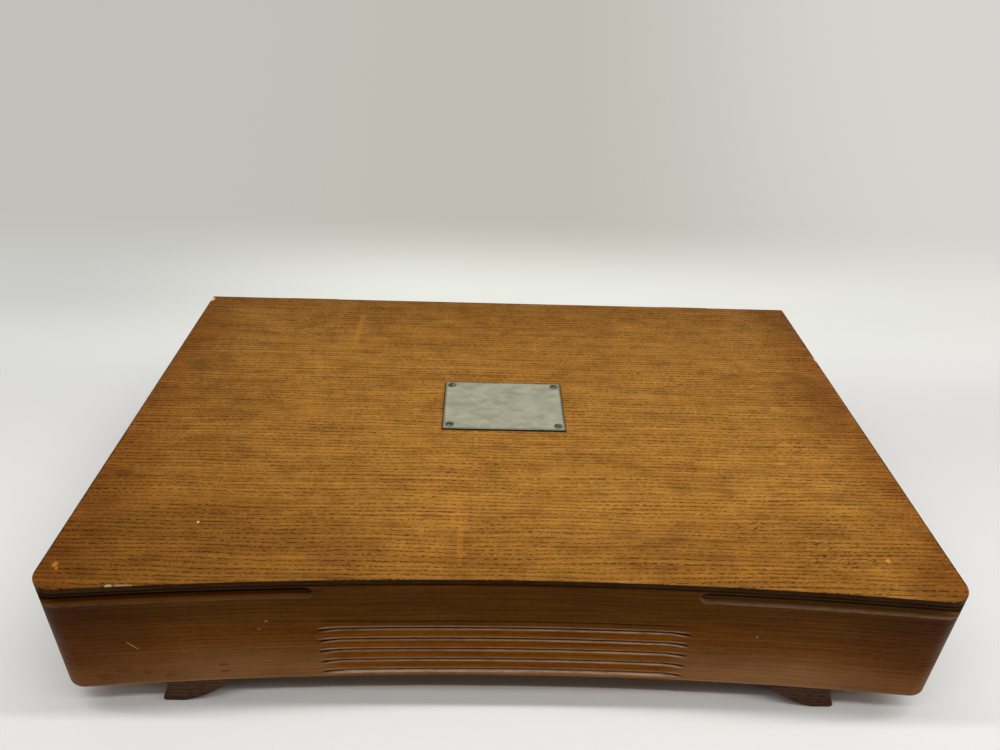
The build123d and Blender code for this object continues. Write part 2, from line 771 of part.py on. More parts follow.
with BuildPart() as stay_rivet:
    rivet_left = arm_x - rivet_head_gap - head_thickness
    rivet_right = ear_x + ear_thickness + head_thickness
    with Locations(Location((rivet_left, rivet_y, rivet_z), (0, 90, 0))):
        Cylinder(rivet_radius, rivet_right - rivet_left, align=standing)
        Cylinder(rivet_radius + rivet_head_lip, head_thickness, align=standing)
    with Locations(Location((rivet_right - head_thickness, rivet_y, rivet_z), (0, 90, 0))):
        Cylinder(rivet_radius + rivet_head_lip, head_thickness, align=standing)
stay_rivet.part.label = "stay_rivet"
export_step(stay_rivet.part, "parts/stay_rivet.step")

with BuildPart() as stay_plate:
    with Locations((stay_plate_x, stud_y, stud_z)):
        Box(
            stay_plate_thickness,
            stay_plate_length,
            stay_plate_height,
            align=(Align.MIN, Align.CENTER, Align.CENTER),
        )
    fillet(stay_plate.edges().filter_by(Axis.X), stay_plate_round)
    stud_left = arm_x - stud_head_gap - head_thickness
    stud_length = stay_plate_x - stud_left + stud_root
    with Locations(Location((stud_left, stud_y, stud_z), (0, 90, 0))):
        Cylinder(stud_radius, stud_length, align=standing)
        Cylinder(stud_radius + stud_head_lip, head_thickness, align=standing)
    with Locations(*stay_screw_places):
        countersunk(*stay_screw, mode=Mode.SUBTRACT)
stay_plate.part.label = "stay_plate"
export_step(stay_plate.part, "parts/stay_plate.step")

with BuildPart() as stay_screws:
    with Locations(*stay_screw_places):
        countersunk(*stay_screw)
        driver_slot(stay_screw[0])
stay_screws.part.label = "stay_screws"
export_step(stay_screws.part, "parts/stay_screws.step")

with BuildPart() as bracket_screws:
    with Locations(*bracket_screw_places):
        countersunk(*bracket_screw)
        driver_slot(bracket_screw[0])
bracket_screws.part.label = "bracket_screws"
export_step(bracket_screws.part, "parts/bracket_screws.step")
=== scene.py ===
from math import cos, radians, sin

import bmesh
import bpy
import numpy as np
from mathutils import Matrix, Vector
from mathutils.geometry import delaunay_2d_cdt


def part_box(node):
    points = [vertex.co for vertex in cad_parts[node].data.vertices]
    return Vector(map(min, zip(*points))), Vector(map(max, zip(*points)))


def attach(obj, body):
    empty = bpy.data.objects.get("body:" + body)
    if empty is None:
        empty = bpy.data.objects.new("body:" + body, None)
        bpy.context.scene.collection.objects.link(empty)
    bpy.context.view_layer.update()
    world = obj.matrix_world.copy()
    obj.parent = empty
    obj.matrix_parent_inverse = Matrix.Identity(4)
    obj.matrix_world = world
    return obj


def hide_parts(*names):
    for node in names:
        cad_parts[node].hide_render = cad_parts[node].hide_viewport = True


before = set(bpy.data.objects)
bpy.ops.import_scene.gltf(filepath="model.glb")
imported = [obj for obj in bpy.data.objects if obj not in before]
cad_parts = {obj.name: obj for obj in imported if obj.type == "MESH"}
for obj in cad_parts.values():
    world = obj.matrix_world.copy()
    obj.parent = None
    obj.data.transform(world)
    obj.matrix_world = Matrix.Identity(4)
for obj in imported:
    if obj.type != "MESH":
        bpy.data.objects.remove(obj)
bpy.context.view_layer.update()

# ---- Camera ----
# The chest is seen from above its front edge, a little left of the middle, through a
# normal lens tilted well down. The camera's place is in metres, as in the photograph's
# solved view; every size of the chest below is in millimetres.
camera_place = Vector((-0.01715, -0.42433, 0.38381))
camera_yaw = radians(1.890)
camera_pitch = radians(32.092)
camera_roll = radians(2.259)
focal_px = 796.46
photo_width_px = 1000
film_width = 36

ahead = Vector(
    (
        sin(camera_yaw) * cos(camera_pitch),
        cos(camera_yaw) * cos(camera_pitch),
        -sin(camera_pitch),
    )
)
level_right = Vector((cos(camera_yaw), -sin(camera_yaw), 0))
level_up = level_right.cross(ahead)
camera_right = level_right * cos(camera_roll) + level_up * sin(camera_roll)
camera_up = level_up * cos(camera_roll) - level_right * sin(camera_roll)
camera = bpy.data.objects.new("camera", bpy.data.cameras.new("camera"))
camera.data.sensor_width = film_width
camera.data.lens = film_width * focal_px / photo_width_px
camera.matrix_world = Matrix.Translation(camera_place) @ Matrix(
    (camera_right, camera_up, -ahead)
).transposed().to_4x4()
bpy.context.scene.collection.objects.link(camera)
bpy.context.scene.camera = camera
bpy.context.scene.view_settings.view_transform = "Standard"

# ---- Floor, backdrop and lights ----
# A roll of pale paper lies under the chest and sweeps up behind it. Two long strip lamps
# hang over it from left to right, one above the chest's front and one nearer the camera,
# and pale surroundings light what faces away.
paper_half_width = 2400
paper_front = -3000.0
paper_bend_start = 330
paper_bend_radius = 700
paper_top = 1900
paper_near = (232, 231, 228)
paper_lit_left = (247, 246, 242)
paper_shaded_right = (216, 215, 212)
paper_behind = ((222, 222, 218), (236, 236, 231), (234, 233, 229))
paper_rising = ((203, 204, 199), (234, 235, 227), (228, 227, 222))
paper_far = ((194, 192, 187), (192, 190, 180), (213, 212, 207))


def linear(rgb):
    """A colour written in 0-255 screen values, as the linear light a shader takes."""
    screen = np.array(rgb) / 255
    light = np.where(screen <= 0.04045, screen / 12.92, ((screen + 0.055) / 1.055) ** 2.4)
    return (*light.tolist(), 1.0)


def node(tree, kind, inputs, **settings):
    """Adds a shader node. An input given as a socket is linked, and any other is set."""
    made = tree.nodes.new("ShaderNode" + kind)
    for key, value in settings.items():
        setattr(made, key, value)
    for key, value in inputs.items():
        if isinstance(value, bpy.types.NodeSocket):
            tree.links.new(value, made.inputs[key])
        else:
            made.inputs[key].default_value = value
    return made


def math(tree, operation, a, b=0.0):
    """One sum on two numbers."""
    return node(tree, "Math", {0: a, 1: b}, operation=operation).outputs[0]


def rise(tree, value, low, high, bottom=0.0, top=1.0):
    """Goes smoothly from bottom to top while value goes from low to high."""
    inputs = {0: value, 1: low, 2: high, 3: bottom, 4: top}
    return node(tree, "MapRange", inputs, interpolation_type="SMOOTHSTEP").outputs[0]


def mixed(tree, share, base, over, how="MIX"):
    """The colour over laid on the colour base, by its share."""
    inputs = {0: share, 6: base, 7: over}
    return node(tree, "Mix", inputs, data_type="RGBA", blend_type=how).outputs[2]


def scaled(tree, vector, factors):
    """A vector with each of its parts multiplied."""
    return node(tree, "VectorMath", {0: vector, 1: factors}, operation="MULTIPLY").outputs[0]


def noise(tree, vector, detail=2.0, harshness=0.5):
    """Noise of about one lump to each unit of vector, from 0 to 1 around a half."""
    inputs = {"Vector": vector, "Scale": 1.0, "Detail": detail, "Roughness": harshness}
    return node(tree, "TexNoise", inputs).outputs[0]


def new_material(name, **sockets):
    """A material, its node tree, its shader, and places on the piece in millimetres."""
    material = bpy.data.materials.new(name)
    material.use_nodes = True
    tree = material.node_tree
    shader = tree.nodes["Principled BSDF"]
    for socket, value in sockets.items():
        shader.inputs[socket.replace("_", " ")].default_value = value
    place = scaled(tree, node(tree, "TexCoord", {}).outputs["Object"], (1000, 1000, 1000))
    return material, tree, shader, place


def filled(loop, first):
    """Triangles that fill a flat closed loop of points, which are counted from first.

    A loop drawn together to a line or a point encloses nothing and needs none.
    """
    flat = loop[:, np.sort(np.argsort(np.ptp(loop, axis=0))[1:])]
    if np.ptp(flat, axis=0).min() < 1e-3:
        return []
    ring = [(i, (i + 1) % len(flat)) for i in range(len(flat))]
    corners = [Vector(point) for point in flat]
    _, _, triangles, came_from, _, _ = delaunay_2d_cdt(corners, ring, [], 1, 1e-4)
    return [[first + came_from[corner][0] for corner in face] for face in triangles]


def loft(sections):
    """Faces of a closed skin over sections, an array of closed loops of points.

    Quads join each loop to the next one, and triangles fill the first and last loops.
    """
    count, around = sections.shape[:2]
    at = np.arange(count * around).reshape(count, around)
    near, far = at[:-1], at[1:]
    quads = np.stack((near, np.roll(near, -1, 1), np.roll(far, -1, 1), far), -1)
    last = (count - 1) * around
    return quads.reshape(-1, 4).tolist() + filled(sections[0], 0) + filled(sections[-1], last)


def new_piece(name, points, faces, material, sharp=38, closed=True, **values):
    """A mesh object from points in millimetres, smooth except over edges past sharp degrees.

    Values are named numbers kept with the points for the material to read. Doubled
    points are merged, and a closed skin's faces are turned outwards.
    """
    mesh = bpy.data.meshes.new(name)
    mesh.from_pydata(points.reshape(-1, 3) / 1000, [], faces)
    for key, value in values.items():
        mesh.attributes.new(key, "FLOAT", "POINT").data.foreach_set("value", value.ravel())
    merged = bmesh.new()
    merged.from_mesh(mesh)
    bmesh.ops.remove_doubles(merged, verts=merged.verts, dist=2e-6)
    if closed:
        bmesh.ops.recalc_face_normals(merged, faces=merged.faces)
    merged.to_mesh(mesh)
    merged.free()
    mesh.shade_smooth()
    mesh.set_sharp_from_angle(angle=radians(sharp))
    mesh.materials.append(material)
    made = bpy.data.objects.new(name, mesh)
    bpy.context.scene.collection.objects.link(made)
    return made


paper, tree, shader, place = new_material("pale_paper", Roughness=0.75)
on_paper = node(tree, "SeparateXYZ", {0: place})
# Less of the lamps' scattered light finds its way under the chest than a renderer lets in
beneath = math(
    tree,
    "MULTIPLY",
    rise(tree, math(tree, "ABSOLUTE", on_paper.outputs["X"]), 185, 222, 1.0, 0.0),
    rise(tree, on_paper.outputs["Y"], -145, -137),
)
beneath = math(tree, "MULTIPLY", beneath, rise(tree, on_paper.outputs["Y"], 130, 150, 1.0, 0.0))
# Painted light and shade: the paper is lighter past the chest's left end and darker at its front right
lit_left_end = math(
    tree,
    "MULTIPLY",
    rise(tree, on_paper.outputs["X"], -350, -230, 1.0, 0.0),
    rise(tree, on_paper.outputs["Y"], -230, -110),
)
shaded_right_front = math(
    tree,
    "MULTIPLY",
    rise(tree, on_paper.outputs["X"], 120, 280),
    rise(tree, on_paper.outputs["Y"], -270, -150, 1.0, 0.0),
)
paper_tone = mixed(tree, lit_left_end, linear(paper_near), linear(paper_lit_left))
paper_tone = mixed(tree, shaded_right_front, paper_tone, linear(paper_shaded_right))
paper_tone = mixed(tree, beneath, paper_tone, (0.42, 0.36, 0.31, 1), "MULTIPLY")
tree.links.new(paper_tone, shader.inputs["Base Color"])


def across_paper(tones):
    """A tone that changes from the left of the backdrop to its middle and its right."""
    left, middle, right = (linear(tone) for tone in tones)
    leftward = rise(tree, on_paper.outputs["X"], -480, -60)
    rightward = rise(tree, on_paper.outputs["X"], 60, 600)
    return mixed(tree, rightward, mixed(tree, leftward, left, middle), right)


# Painted shade: the backdrop darkens as it rises behind the chest, unevenly from left to right
backdrop_shaded_tone = mixed(
    tree,
    rise(tree, on_paper.outputs["Y"], 200, 350),
    across_paper(paper_behind),
    across_paper(paper_rising),
)
backdrop_shaded_tone = mixed(
    tree, rise(tree, on_paper.outputs["Y"], 350, 520), backdrop_shaded_tone, across_paper(paper_far)
)


def seen_directly(tree):
    """1 for the eye and for reflections, 0 for light that scatters on to the chest."""
    ray = node(tree, "LightPath", {})
    seen = math(tree, "MAXIMUM", ray.outputs["Is Camera Ray"], ray.outputs["Is Glossy Ray"])
    return math(tree, "MAXIMUM", seen, ray.outputs["Is Transmission Ray"])


# The backdrop's painted tone, its shade included, glows to the eye and in gloss, and sheds no light on
# the chest
seen = math(tree, "MULTIPLY", seen_directly(tree), rise(tree, on_paper.outputs["Y"], 60, 270))
glow = node(tree, "Emission", {"Color": backdrop_shaded_tone, "Strength": 1.0})
paper_finish = node(tree, "MixShader", {0: seen, 1: shader.outputs[0], 2: glow.outputs[0]})
tree.links.new(paper_finish.outputs[0], tree.nodes["Material Output"].inputs["Surface"])

bend = np.radians(np.linspace(-90, 0, 24))
paper_line = np.vstack(
    (
        [(paper_front, 0)],
        np.column_stack(
            (
                paper_bend_start + paper_bend_radius * np.cos(bend),
                paper_bend_radius + paper_bend_radius * np.sin(bend),
            )
        ),
        [(paper_bend_start + paper_bend_radius, paper_top)],
    )
)
paper_sides = np.repeat([-paper_half_width, paper_half_width], len(paper_line))
paper_points = np.column_stack((paper_sides, np.tile(paper_line, (2, 1))))
first = np.arange(len(paper_line) - 1)
second = first + len(paper_line)
paper_faces = np.column_stack((first, second, second + 1, first + 1)).tolist()
floor = new_piece("paper_floor", paper_points, paper_faces, paper, closed=False)

strip_height = 0.7
strip_width = 0.016
room_light = (0.272, 0.274, 0.28, 1.0)
room_seen = (200, 199, 194)
for name, left, right, strip_y, watts in (
    ("strip_lamp_over_chest", -0.86, 1.08, -0.110, 5.0),
    ("strip_lamp_over_camera", -0.42, 1.80, -0.404, 4.2),
):
    strip = bpy.data.objects.new(name, bpy.data.lights.new(name, "AREA"))
    strip.data.shape = "RECTANGLE"
    strip.data.size = right - left
    strip.data.size_y = strip_width
    strip.data.energy = watts
    strip.location = ((left + right) / 2, strip_y, strip_height)
    strip.visible_camera = False
    bpy.context.scene.collection.objects.link(strip)
# The room past the paper looks as pale as the paper, and lights the chest less than that
world = bpy.data.worlds.new("pale_room")
world.use_nodes = True
room_tone = mixed(world.node_tree, seen_directly(world.node_tree), room_light, linear(room_seen))
world.node_tree.links.new(room_tone, world.node_tree.nodes["Background"].inputs["Color"])
bpy.context.scene.world = world

# ---- Front board ----
# A thick oak board, straight inside and hollowed outside, with its two ends rounded to
# meet the side boards. A round-nosed cutter ran a finger groove out of each corner, and
# five quirks in the middle leave a band of reeds. The stain is worn off the arrises.
# Shade in the quirks, the finger grooves and the seam, and highlights on the reeds, are painted into
# the front's colour
chest_depth = 310.0
bow_depth = 11.5
corner_radius = 12.0
rim_round = 0.4
hem_round = 1.0
base_rebate = 5.0
base_thickness = 5.0
groove_radius = 3.6
groove_sink = 1.0
groove_drop = 4.75
groove_start = 100.0
quirk_drops = 4.1 + 8.07 * np.arange(5)
quirk_depth = 2.6
quirk_half_width = 3.6
quirk_full = 85.0
quirk_tip = 97.0
quirk_droop = 1.0
scribed_rise = 42.8
scribed_depth = 0.35

front_low, front_high = (np.array(corner) * 1000 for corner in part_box("front_wall"))
back_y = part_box("back_wall")[1][1] * 1000
half_width = front_high[0]
case_bottom, seam_z = front_low[2], front_high[2]
front_inner_y = front_high[1]
front_y = back_y - chest_depth
bow_radius = (half_width**2 + bow_depth**2) / (2 * bow_depth)
bow_centre_y = front_y + bow_depth - bow_radius
corner_x = half_width - corner_radius
corner_y = bow_centre_y + np.sqrt((bow_radius + corner_radius) ** 2 - corner_x**2)
groove_z = seam_z - groove_drop


def front_line(spacings, corner_stops=()):
    """The plan of the hollow front and its two rounded corners, from left to right.

    The hollow is y = centre + sqrt(radius^2 - x^2), at x from 0 outwards through the
    (end, spacing) pairs. Each corner is an arc that touches both the hollow and the side,
    with further points at any corner stops, angles on that arc.
    """
    touch = corner_x * bow_radius / (bow_radius + corner_radius)
    xs, start = [], 0.0
    for end, spacing in spacings:
        xs.append(np.arange(start, min(end, touch), spacing))
        start = min(end, touch)
    xs = np.concatenate((*xs, [touch]))
    hollow = np.column_stack((xs, bow_centre_y + np.sqrt(bow_radius**2 - xs**2)))
    first_turn = np.arctan2(bow_centre_y - corner_y, -corner_x)
    turns = np.sort(np.append(np.linspace(first_turn, 0, 31), corner_stops))[1:]
    corner = np.column_stack((np.cos(turns), np.sin(turns)))
    right = np.vstack((hollow, corner_radius * corner + (corner_x, corner_y)))
    return np.vstack((right[:0:-1] * (-1, 1), right))


def outward(line):
    """Unit normals to the right of a line of points, level with the floor."""
    along = np.gradient(line, axis=0)
    normal = np.column_stack((along[:, 1], -along[:, 0]))
    return normal / np.linalg.norm(normal, axis=1, keepdims=True)


def quirk_cut(x, z):
    """Depth of the reeding at each place on the front, and its distance to a quirk's middle.

    Between a quirk's middle and the crown of a reed the depth is 1 - (1 - a^p)^(1/p) of
    the whole, where a falls from 1 to 0. Near the tips the quirk narrows and droops.
    """
    fullness = np.clip((quirk_tip - np.abs(x)) / (quirk_tip - quirk_full), 0, 1)
    size = fullness**0.75
    roundness = 2.3
    depth, nearest = np.zeros_like(x), np.full_like(x, 99.0)
    for drop in quirk_drops:
        off = z - (case_bottom + drop - quirk_droop * (1 - fullness) ** 2)
        a = 1 - np.clip(np.abs(off) / np.maximum(quirk_half_width * size, 1e-3), 0, 1)
        cut = quirk_depth * size * (1 - (1 - a**roundness) ** (1 / roundness))
        depth = np.maximum(depth, cut)
        nearest = np.where(np.abs(off) < np.abs(nearest), off, nearest)
    scribed = np.exp(-(((z - case_bottom - scribed_rise) / 0.35) ** 2)) * scribed_depth
    return np.maximum(depth, scribed * fullness), nearest, fullness


def groove_cut(x, z, beyond):
    """Depth of the finger groove at each place, and its distance to the groove's arris.

    The cutter is a ball swept along the hollow: behind a place at a distance off from its
    line it reaches sink + sqrt(radius^2 - off^2), less what the corner has rounded away.
    """
    end = np.maximum(groove_start - np.abs(x), 0)
    off_squared = (z - groove_z) ** 2 + end**2
    mouth = np.sqrt(np.maximum(groove_radius**2 - (beyond - groove_sink) ** 2, 0))
    reach = groove_sink + np.sqrt(np.maximum(groove_radius**2 - off_squared, 0)) - beyond
    inside = (off_squared < mouth**2) & (beyond < groove_sink + groove_radius)
    away = np.sqrt(off_squared) - np.where(beyond < groove_sink + groove_radius, mouth, -9)
    return np.where(inside, np.maximum(reach, 0), 0), away


rebate_turn = -np.arccos((corner_radius - base_rebate) / corner_radius)
front_plan = front_line(
    [(84, 3.0), (95, 0.7), (106, 0.4), (half_width, 2.5)],
    corner_stops=rebate_turn + np.array([-1e-4, 1e-4]),
)
front_normals = outward(front_plan)
side_ys = np.linspace(corner_y, front_inner_y, 6)[1:]
end_plan = np.column_stack((np.full(5, half_width), side_ys))
plan = np.vstack((end_plan[::-1] * (-1, 1), front_plan, end_plan))
normals = np.vstack((np.tile((-1, 0), (5, 1)), front_normals, np.tile((1, 0), (5, 1))))

quarter = np.radians(np.linspace(0, 90, 5))
near_quirk = np.array([0, 0.12, 0.3, 0.55, 0.85, 1.2, 1.6, 2.1, 2.7, 3.3, 3.9])
face_zs = np.concatenate(
    (
        (case_bottom + quirk_drops[:, None] + np.append(-near_quirk, near_quirk)).ravel(),
        case_bottom + scribed_rise + np.linspace(-0.8, 0.8, 9),
        np.linspace(case_bottom + scribed_rise + 3, groove_z - 5, 6),
        groove_z + np.linspace(-4, 4, 41),
        [case_bottom + hem_round, seam_z - rim_round],
    )
)
face_zs = np.unique(np.round(face_zs, 2))
face_zs = face_zs[(face_zs >= case_bottom + hem_round) & (face_zs <= seam_z - rim_round)]
# Inset and height of the skin from under the hem, up the face and over the rim
skin_inset = np.concatenate(
    (
        [hem_round + 0.4],
        hem_round * (1 - np.sin(quarter[:-1])),
        np.zeros(len(face_zs)),
        rim_round * (1 - np.cos(quarter[1:])),
        [rim_round + 0.4],
    )
)
skin_z = np.concatenate(
    (
        [case_bottom],
        case_bottom + hem_round * (1 - np.cos(quarter[:-1])),
        face_zs,
        seam_z - rim_round * (1 - np.sin(quarter[1:])),
        [seam_z],
    )
)
skin_xy = plan[:, None] - skin_inset[:, None] * normals[:, None]
skin_x, skin_height = np.broadcast_arrays(skin_xy[..., 0], skin_z)
from_axis = plan - (0, bow_centre_y)
axis_distance = np.linalg.norm(from_axis, axis=1)
beyond_hollow = (axis_distance - bow_radius)[:, None] + np.zeros_like(skin_x)
reed_depth, quirk_off, reed_full = quirk_cut(skin_x, skin_height)
groove_depth, arris_away = groove_cut(skin_x, skin_height, beyond_hollow)
inwards = (from_axis / axis_distance[:, None])[:, None]
skin_xy = skin_xy + np.maximum(reed_depth, groove_depth)[..., None] * inwards
skin_xy[..., 0] = np.clip(skin_xy[..., 0], -half_width, half_width)

rebate = np.where(np.abs(plan[:, 0]) <= half_width - base_rebate, base_rebate, 0)
rebate_z = case_bottom + base_thickness
inner_insets = np.array([skin_inset[-1], 0.02, 0.02, skin_inset[0]])
inner_zs = np.array([seam_z, rebate_z, rebate_z, case_bottom])
inner_x = plan[:, :1] - inner_insets * normals[:, :1]
inner_y = front_inner_y - np.array([0, 0, 1, 1]) * rebate[:, None]
inner = np.stack((inner_x, inner_y, np.broadcast_to(inner_zs, inner_x.shape)), -1)
front_sections = np.concatenate(
    (np.dstack((skin_xy, skin_height)), inner), axis=1
)


def for_inner(value):
    """Values on the skin, with noughts for the four hidden lines inside."""
    return np.pad(value, ((0, 0), (0, inner.shape[1])))


in_band = np.clip((quirk_drops[-1] + case_bottom - skin_height) / 1.0, 0, 1)
reed = reed_full * in_band * np.clip((np.abs(quirk_off) - 1.0) / 0.5, 0, 1)
to_right = np.clip(0.5 + skin_x / 120, 0, 1)
# Painted highlights: a pale line above each quirk, and one below it that is partly real wear
over_quirk_glint = np.exp(-(((quirk_off - 2.3) / 0.38) ** 2)) * (0.75 - 0.2 * to_right)
under_quirk_wear_and_glint = np.exp(-(((quirk_off + 0.72) / 0.3) ** 2)) * (0.5 + 0.5 * to_right)
quirk_wear = np.maximum(over_quirk_glint, under_quirk_wear_and_glint) * np.clip(reed_full * 2.5, 0, 1)
groove_wear = np.exp(-((arris_away / 0.42) ** 2)) * np.where(skin_x < 0, 0.2, 0.4)
groove_wear *= np.where(skin_height < groove_z, 1.0, 0.3)
groove_wear = np.where(groove_depth > 0, 0.03 * (skin_x > 0), groove_wear)
hem_wear = np.exp(-(((skin_height - case_bottom) / 1.2) ** 2))
# A painted highlight along the lowest reed
lowest_reed_highlight = np.exp(-(((skin_height - case_bottom - 3.0) / 0.75) ** 2)) * reed_full
wear = np.maximum.reduce((quirk_wear, groove_wear, 0.35 * hem_wear, lowest_reed_highlight))
# Painted shade: dark in the quirks, along the scribed line, inside the finger grooves, at the seam and
# on the lip above each groove
quirk_grime = np.clip((1.1 - np.abs(quirk_off - 0.75)) / 0.25, 0, 1)
quirk_grime *= np.clip(reed_full * 4, 0, 1)
scribe_away = np.abs(skin_height - case_bottom - scribed_rise)
scribe_grime = 0.75 * np.exp(-((scribe_away / 0.45) ** 2)) * reed_full
in_groove = np.clip(groove_depth / 0.9, 0, 1)
up_groove = skin_height - groove_z, (-3.4, -3.2, -2.8, -2.3, -2.0)
left_cavity = np.interp(*up_groove, (0.15, 0.5, 0.45, 0.4, 0.95))
right_cavity = np.interp(*up_groove, (0.75, 0.62, 0.25, 0.1, 0.95))
groove_grime = in_groove * np.where(skin_x < 0, left_cavity, right_cavity)
rim_grime = 0.8 * (skin_inset > 0) * (skin_height > groove_z)
lip_grime = np.clip((np.abs(skin_x) - 222) / 4, 0.55 * (np.abs(skin_x) > groove_start), 1)
lip_grime *= skin_height > groove_z + 2
grime = np.maximum.reduce((quirk_grime, scribe_grime, groove_grime, rim_grime, lip_grime))


def oak(name, pale, deep, pore, along=0, up=1, pore_share=0.85, pore_length=3.6, **sockets):
    """Stained oak under varnish, with its fibres along one axis of the chest.

    The growth rings show as rows of open pores, where a triangle wave of place / pitch
    peaks. Noise drawn out along the fibres breaks the rows into dashes and gives the
    tones between them, and slow noise makes the rows drift up the surface.
    Returns the material, its tree and shader, places on the piece, and the colour.
    """
    material, tree, shader, place = new_material(name, **sockets)

    def drawn(vector, length, width, detail, harshness=0.5):
        factors = [0.0, 0.0, 0.0]
        factors[along], factors[up] = 1 / length, 1 / width
        return noise(tree, scaled(tree, vector, factors), detail, harshness)

    ring_pitch = 3.0
    drift = 1.3
    slow = math(tree, "SUBTRACT", drawn(place, 110, 40, 2), 0.5)
    quick = math(tree, "SUBTRACT", drawn(place, 9, 4, 2), 0.5)
    push = math(
        tree, "ADD", math(tree, "MULTIPLY", slow, 6 * drift), math(tree, "MULTIPLY", quick, drift)
    )
    push = node(tree, "CombineXYZ", {up: push}).outputs[0]
    bent = node(tree, "VectorMath", {0: push, 1: place}, operation="ADD").outputs[0]
    height = node(tree, "SeparateXYZ", {0: bent}).outputs[up]
    uneven = math(tree, "MULTIPLY", drawn(bent, 400, 9, 1), 1.1)
    ring = math(tree, "ADD", math(tree, "DIVIDE", height, ring_pitch), uneven)
    row = rise(tree, math(tree, "PINGPONG", ring, 0.5), 0.27, 0.45)
    dashes = rise(tree, drawn(bent, pore_length, 0.9, 2), 0.4, 0.56)
    row_pores = math(tree, "MULTIPLY", row, dashes)
    stray_pores = rise(tree, drawn(bent, pore_length, 0.5, 1.5), 0.57, 0.68, 0.0, 0.75)
    crowding = rise(tree, drawn(bent, 90, 12, 2), 0.3, 0.6, 0.7, 1.0)
    pores = math(tree, "MULTIPLY", math(tree, "MAXIMUM", row_pores, stray_pores), crowding)
    figure = drawn(bent, 70, 2.6, 4, 0.6)
    fibres = drawn(bent, 4 * pore_length, 0.6, 3, 0.6)
    patches = noise(tree, scaled(tree, place, (0.03, 0.05, 0.05)), 4, 0.6)
    colour = mixed(tree, rise(tree, figure, 0.25, 0.75), pale, deep)
    colour = mixed(
        tree, rise(tree, fibres, 0.3, 0.72, 0.0, 0.5), colour, (0.7, 0.62, 0.5, 1), "MULTIPLY"
    )
    colour = mixed(
        tree, rise(tree, patches, 0.38, 0.68, 0.0, 0.4), colour, (0.76, 0.7, 0.62, 1), "MULTIPLY"
    )
    colour = mixed(tree, math(tree, "MULTIPLY", pores, pore_share), colour, pore)
    relief = math(tree, "SUBTRACT", math(tree, "MULTIPLY", fibres, 0.3), pores)
    bump = node(tree, "Bump", {"Strength": 0.3, "Distance": 0.00012, "Height": relief})
    tree.links.new(bump.outputs[0], shader.inputs["Normal"])
    dullness = rise(tree, patches, 0.3, 0.7, 0.36, 0.5)
    dullness = math(tree, "ADD", dullness, math(tree, "MULTIPLY", pores, 0.25))
    tree.links.new(dullness, shader.inputs["Roughness"])
    return material, tree, shader, place, colour


varnish = {
    "Specular_IOR_Level": 0.05,
    "Specular_Tint": (1.0, 0.6, 0.22, 1.0),
}
case_pale = linear((119, 70, 4))
case_deep = linear((94, 50, 2))
case_pore = linear((46, 24, 2))
worn_and_highlit_oak = linear((206, 172, 140))
# A near-black for painted shade, and for dirt round the plaque
grime_colour = linear((20, 8, 3))
groove_lit_tones = ((118, 67, 14), (131, 84, 34))

front_oak, tree, shader, place, colour = oak(
    "front_oak", case_pale, case_deep, case_pore, up=2, pore_share=0.5, **varnish
)
height_on_front = node(tree, "SeparateXYZ", {0: place}).outputs["Z"]
# Painted shade: the front darkens towards its top
upper_shade = rise(tree, height_on_front, case_bottom + 28, seam_z - 12)
colour = mixed(tree, upper_shade, colour, (0.6, 0.62, 0.3, 1), "MULTIPLY")
# Dividing by a tint lightens the wood and keeps its grain
reed_share = node(tree, "Attribute", {}, attribute_name="reed").outputs["Fac"]
colour = mixed(tree, reed_share, colour, (0.75, 0.8, 1.0, 1), "DIVIDE")
on_front = node(tree, "SeparateXYZ", {0: place}).outputs["X"]
groove_share = node(tree, "Attribute", {}, attribute_name="groove").outputs["Fac"]
# Painted sheen: the front is lightened and greyed towards the hem, as the pale floor's light reflects
# and bounces on it, less so at the two ends
from_middle = math(tree, "ABSOLUTE", on_front)
sheen_patches = noise(tree, scaled(tree, place, (0.02, 0.05, 0.06)), 3, 0.6)
painted_sheen = rise(tree, height_on_front, case_bottom + 4, case_bottom + 35, 1.0, 0.0)
for share in (
    rise(tree, sheen_patches, 0.3, 0.7, 0.75, 1.15),
    rise(tree, on_front, -150, 0, 0.75, 1.0),
    rise(tree, from_middle, 150, 225, 1.0, 0.6),
    math(tree, "SUBTRACT", 1.0, reed_share),
):
    painted_sheen = math(tree, "MULTIPLY", painted_sheen, share)
colour = mixed(tree, painted_sheen, colour, (0.11, 0.067, 0.034, 1), "ADD")
# Painted shade: the front darkens towards both ends, more at the top, and most on the rounded corners
darker_ends = math(
    tree,
    "MULTIPLY",
    rise(tree, from_middle, 155, 212, 0.0, 0.9),
    rise(tree, height_on_front, case_bottom + 2, case_bottom + 26, 0.45, 1.0),
)
# Both shades die out round the corner, before the joint with the side board
facing = rise(
    tree,
    node(tree, "SeparateXYZ", {0: place}).outputs["Y"],
    corner_y - 5,
    front_inner_y - 1,
    1.0,
    0.0,
)
darker_ends = math(tree, "MULTIPLY", darker_ends, facing)
colour = mixed(tree, darker_ends, colour, (0.66, 0.54, 0.3, 1), "MULTIPLY")
corner_shade = math(tree, "MULTIPLY", rise(tree, from_middle, 225, 229.6, 0.0, 0.85), facing)
colour = mixed(tree, corner_shade, colour, (0.42, 0.38, 0.36, 1), "MULTIPLY")
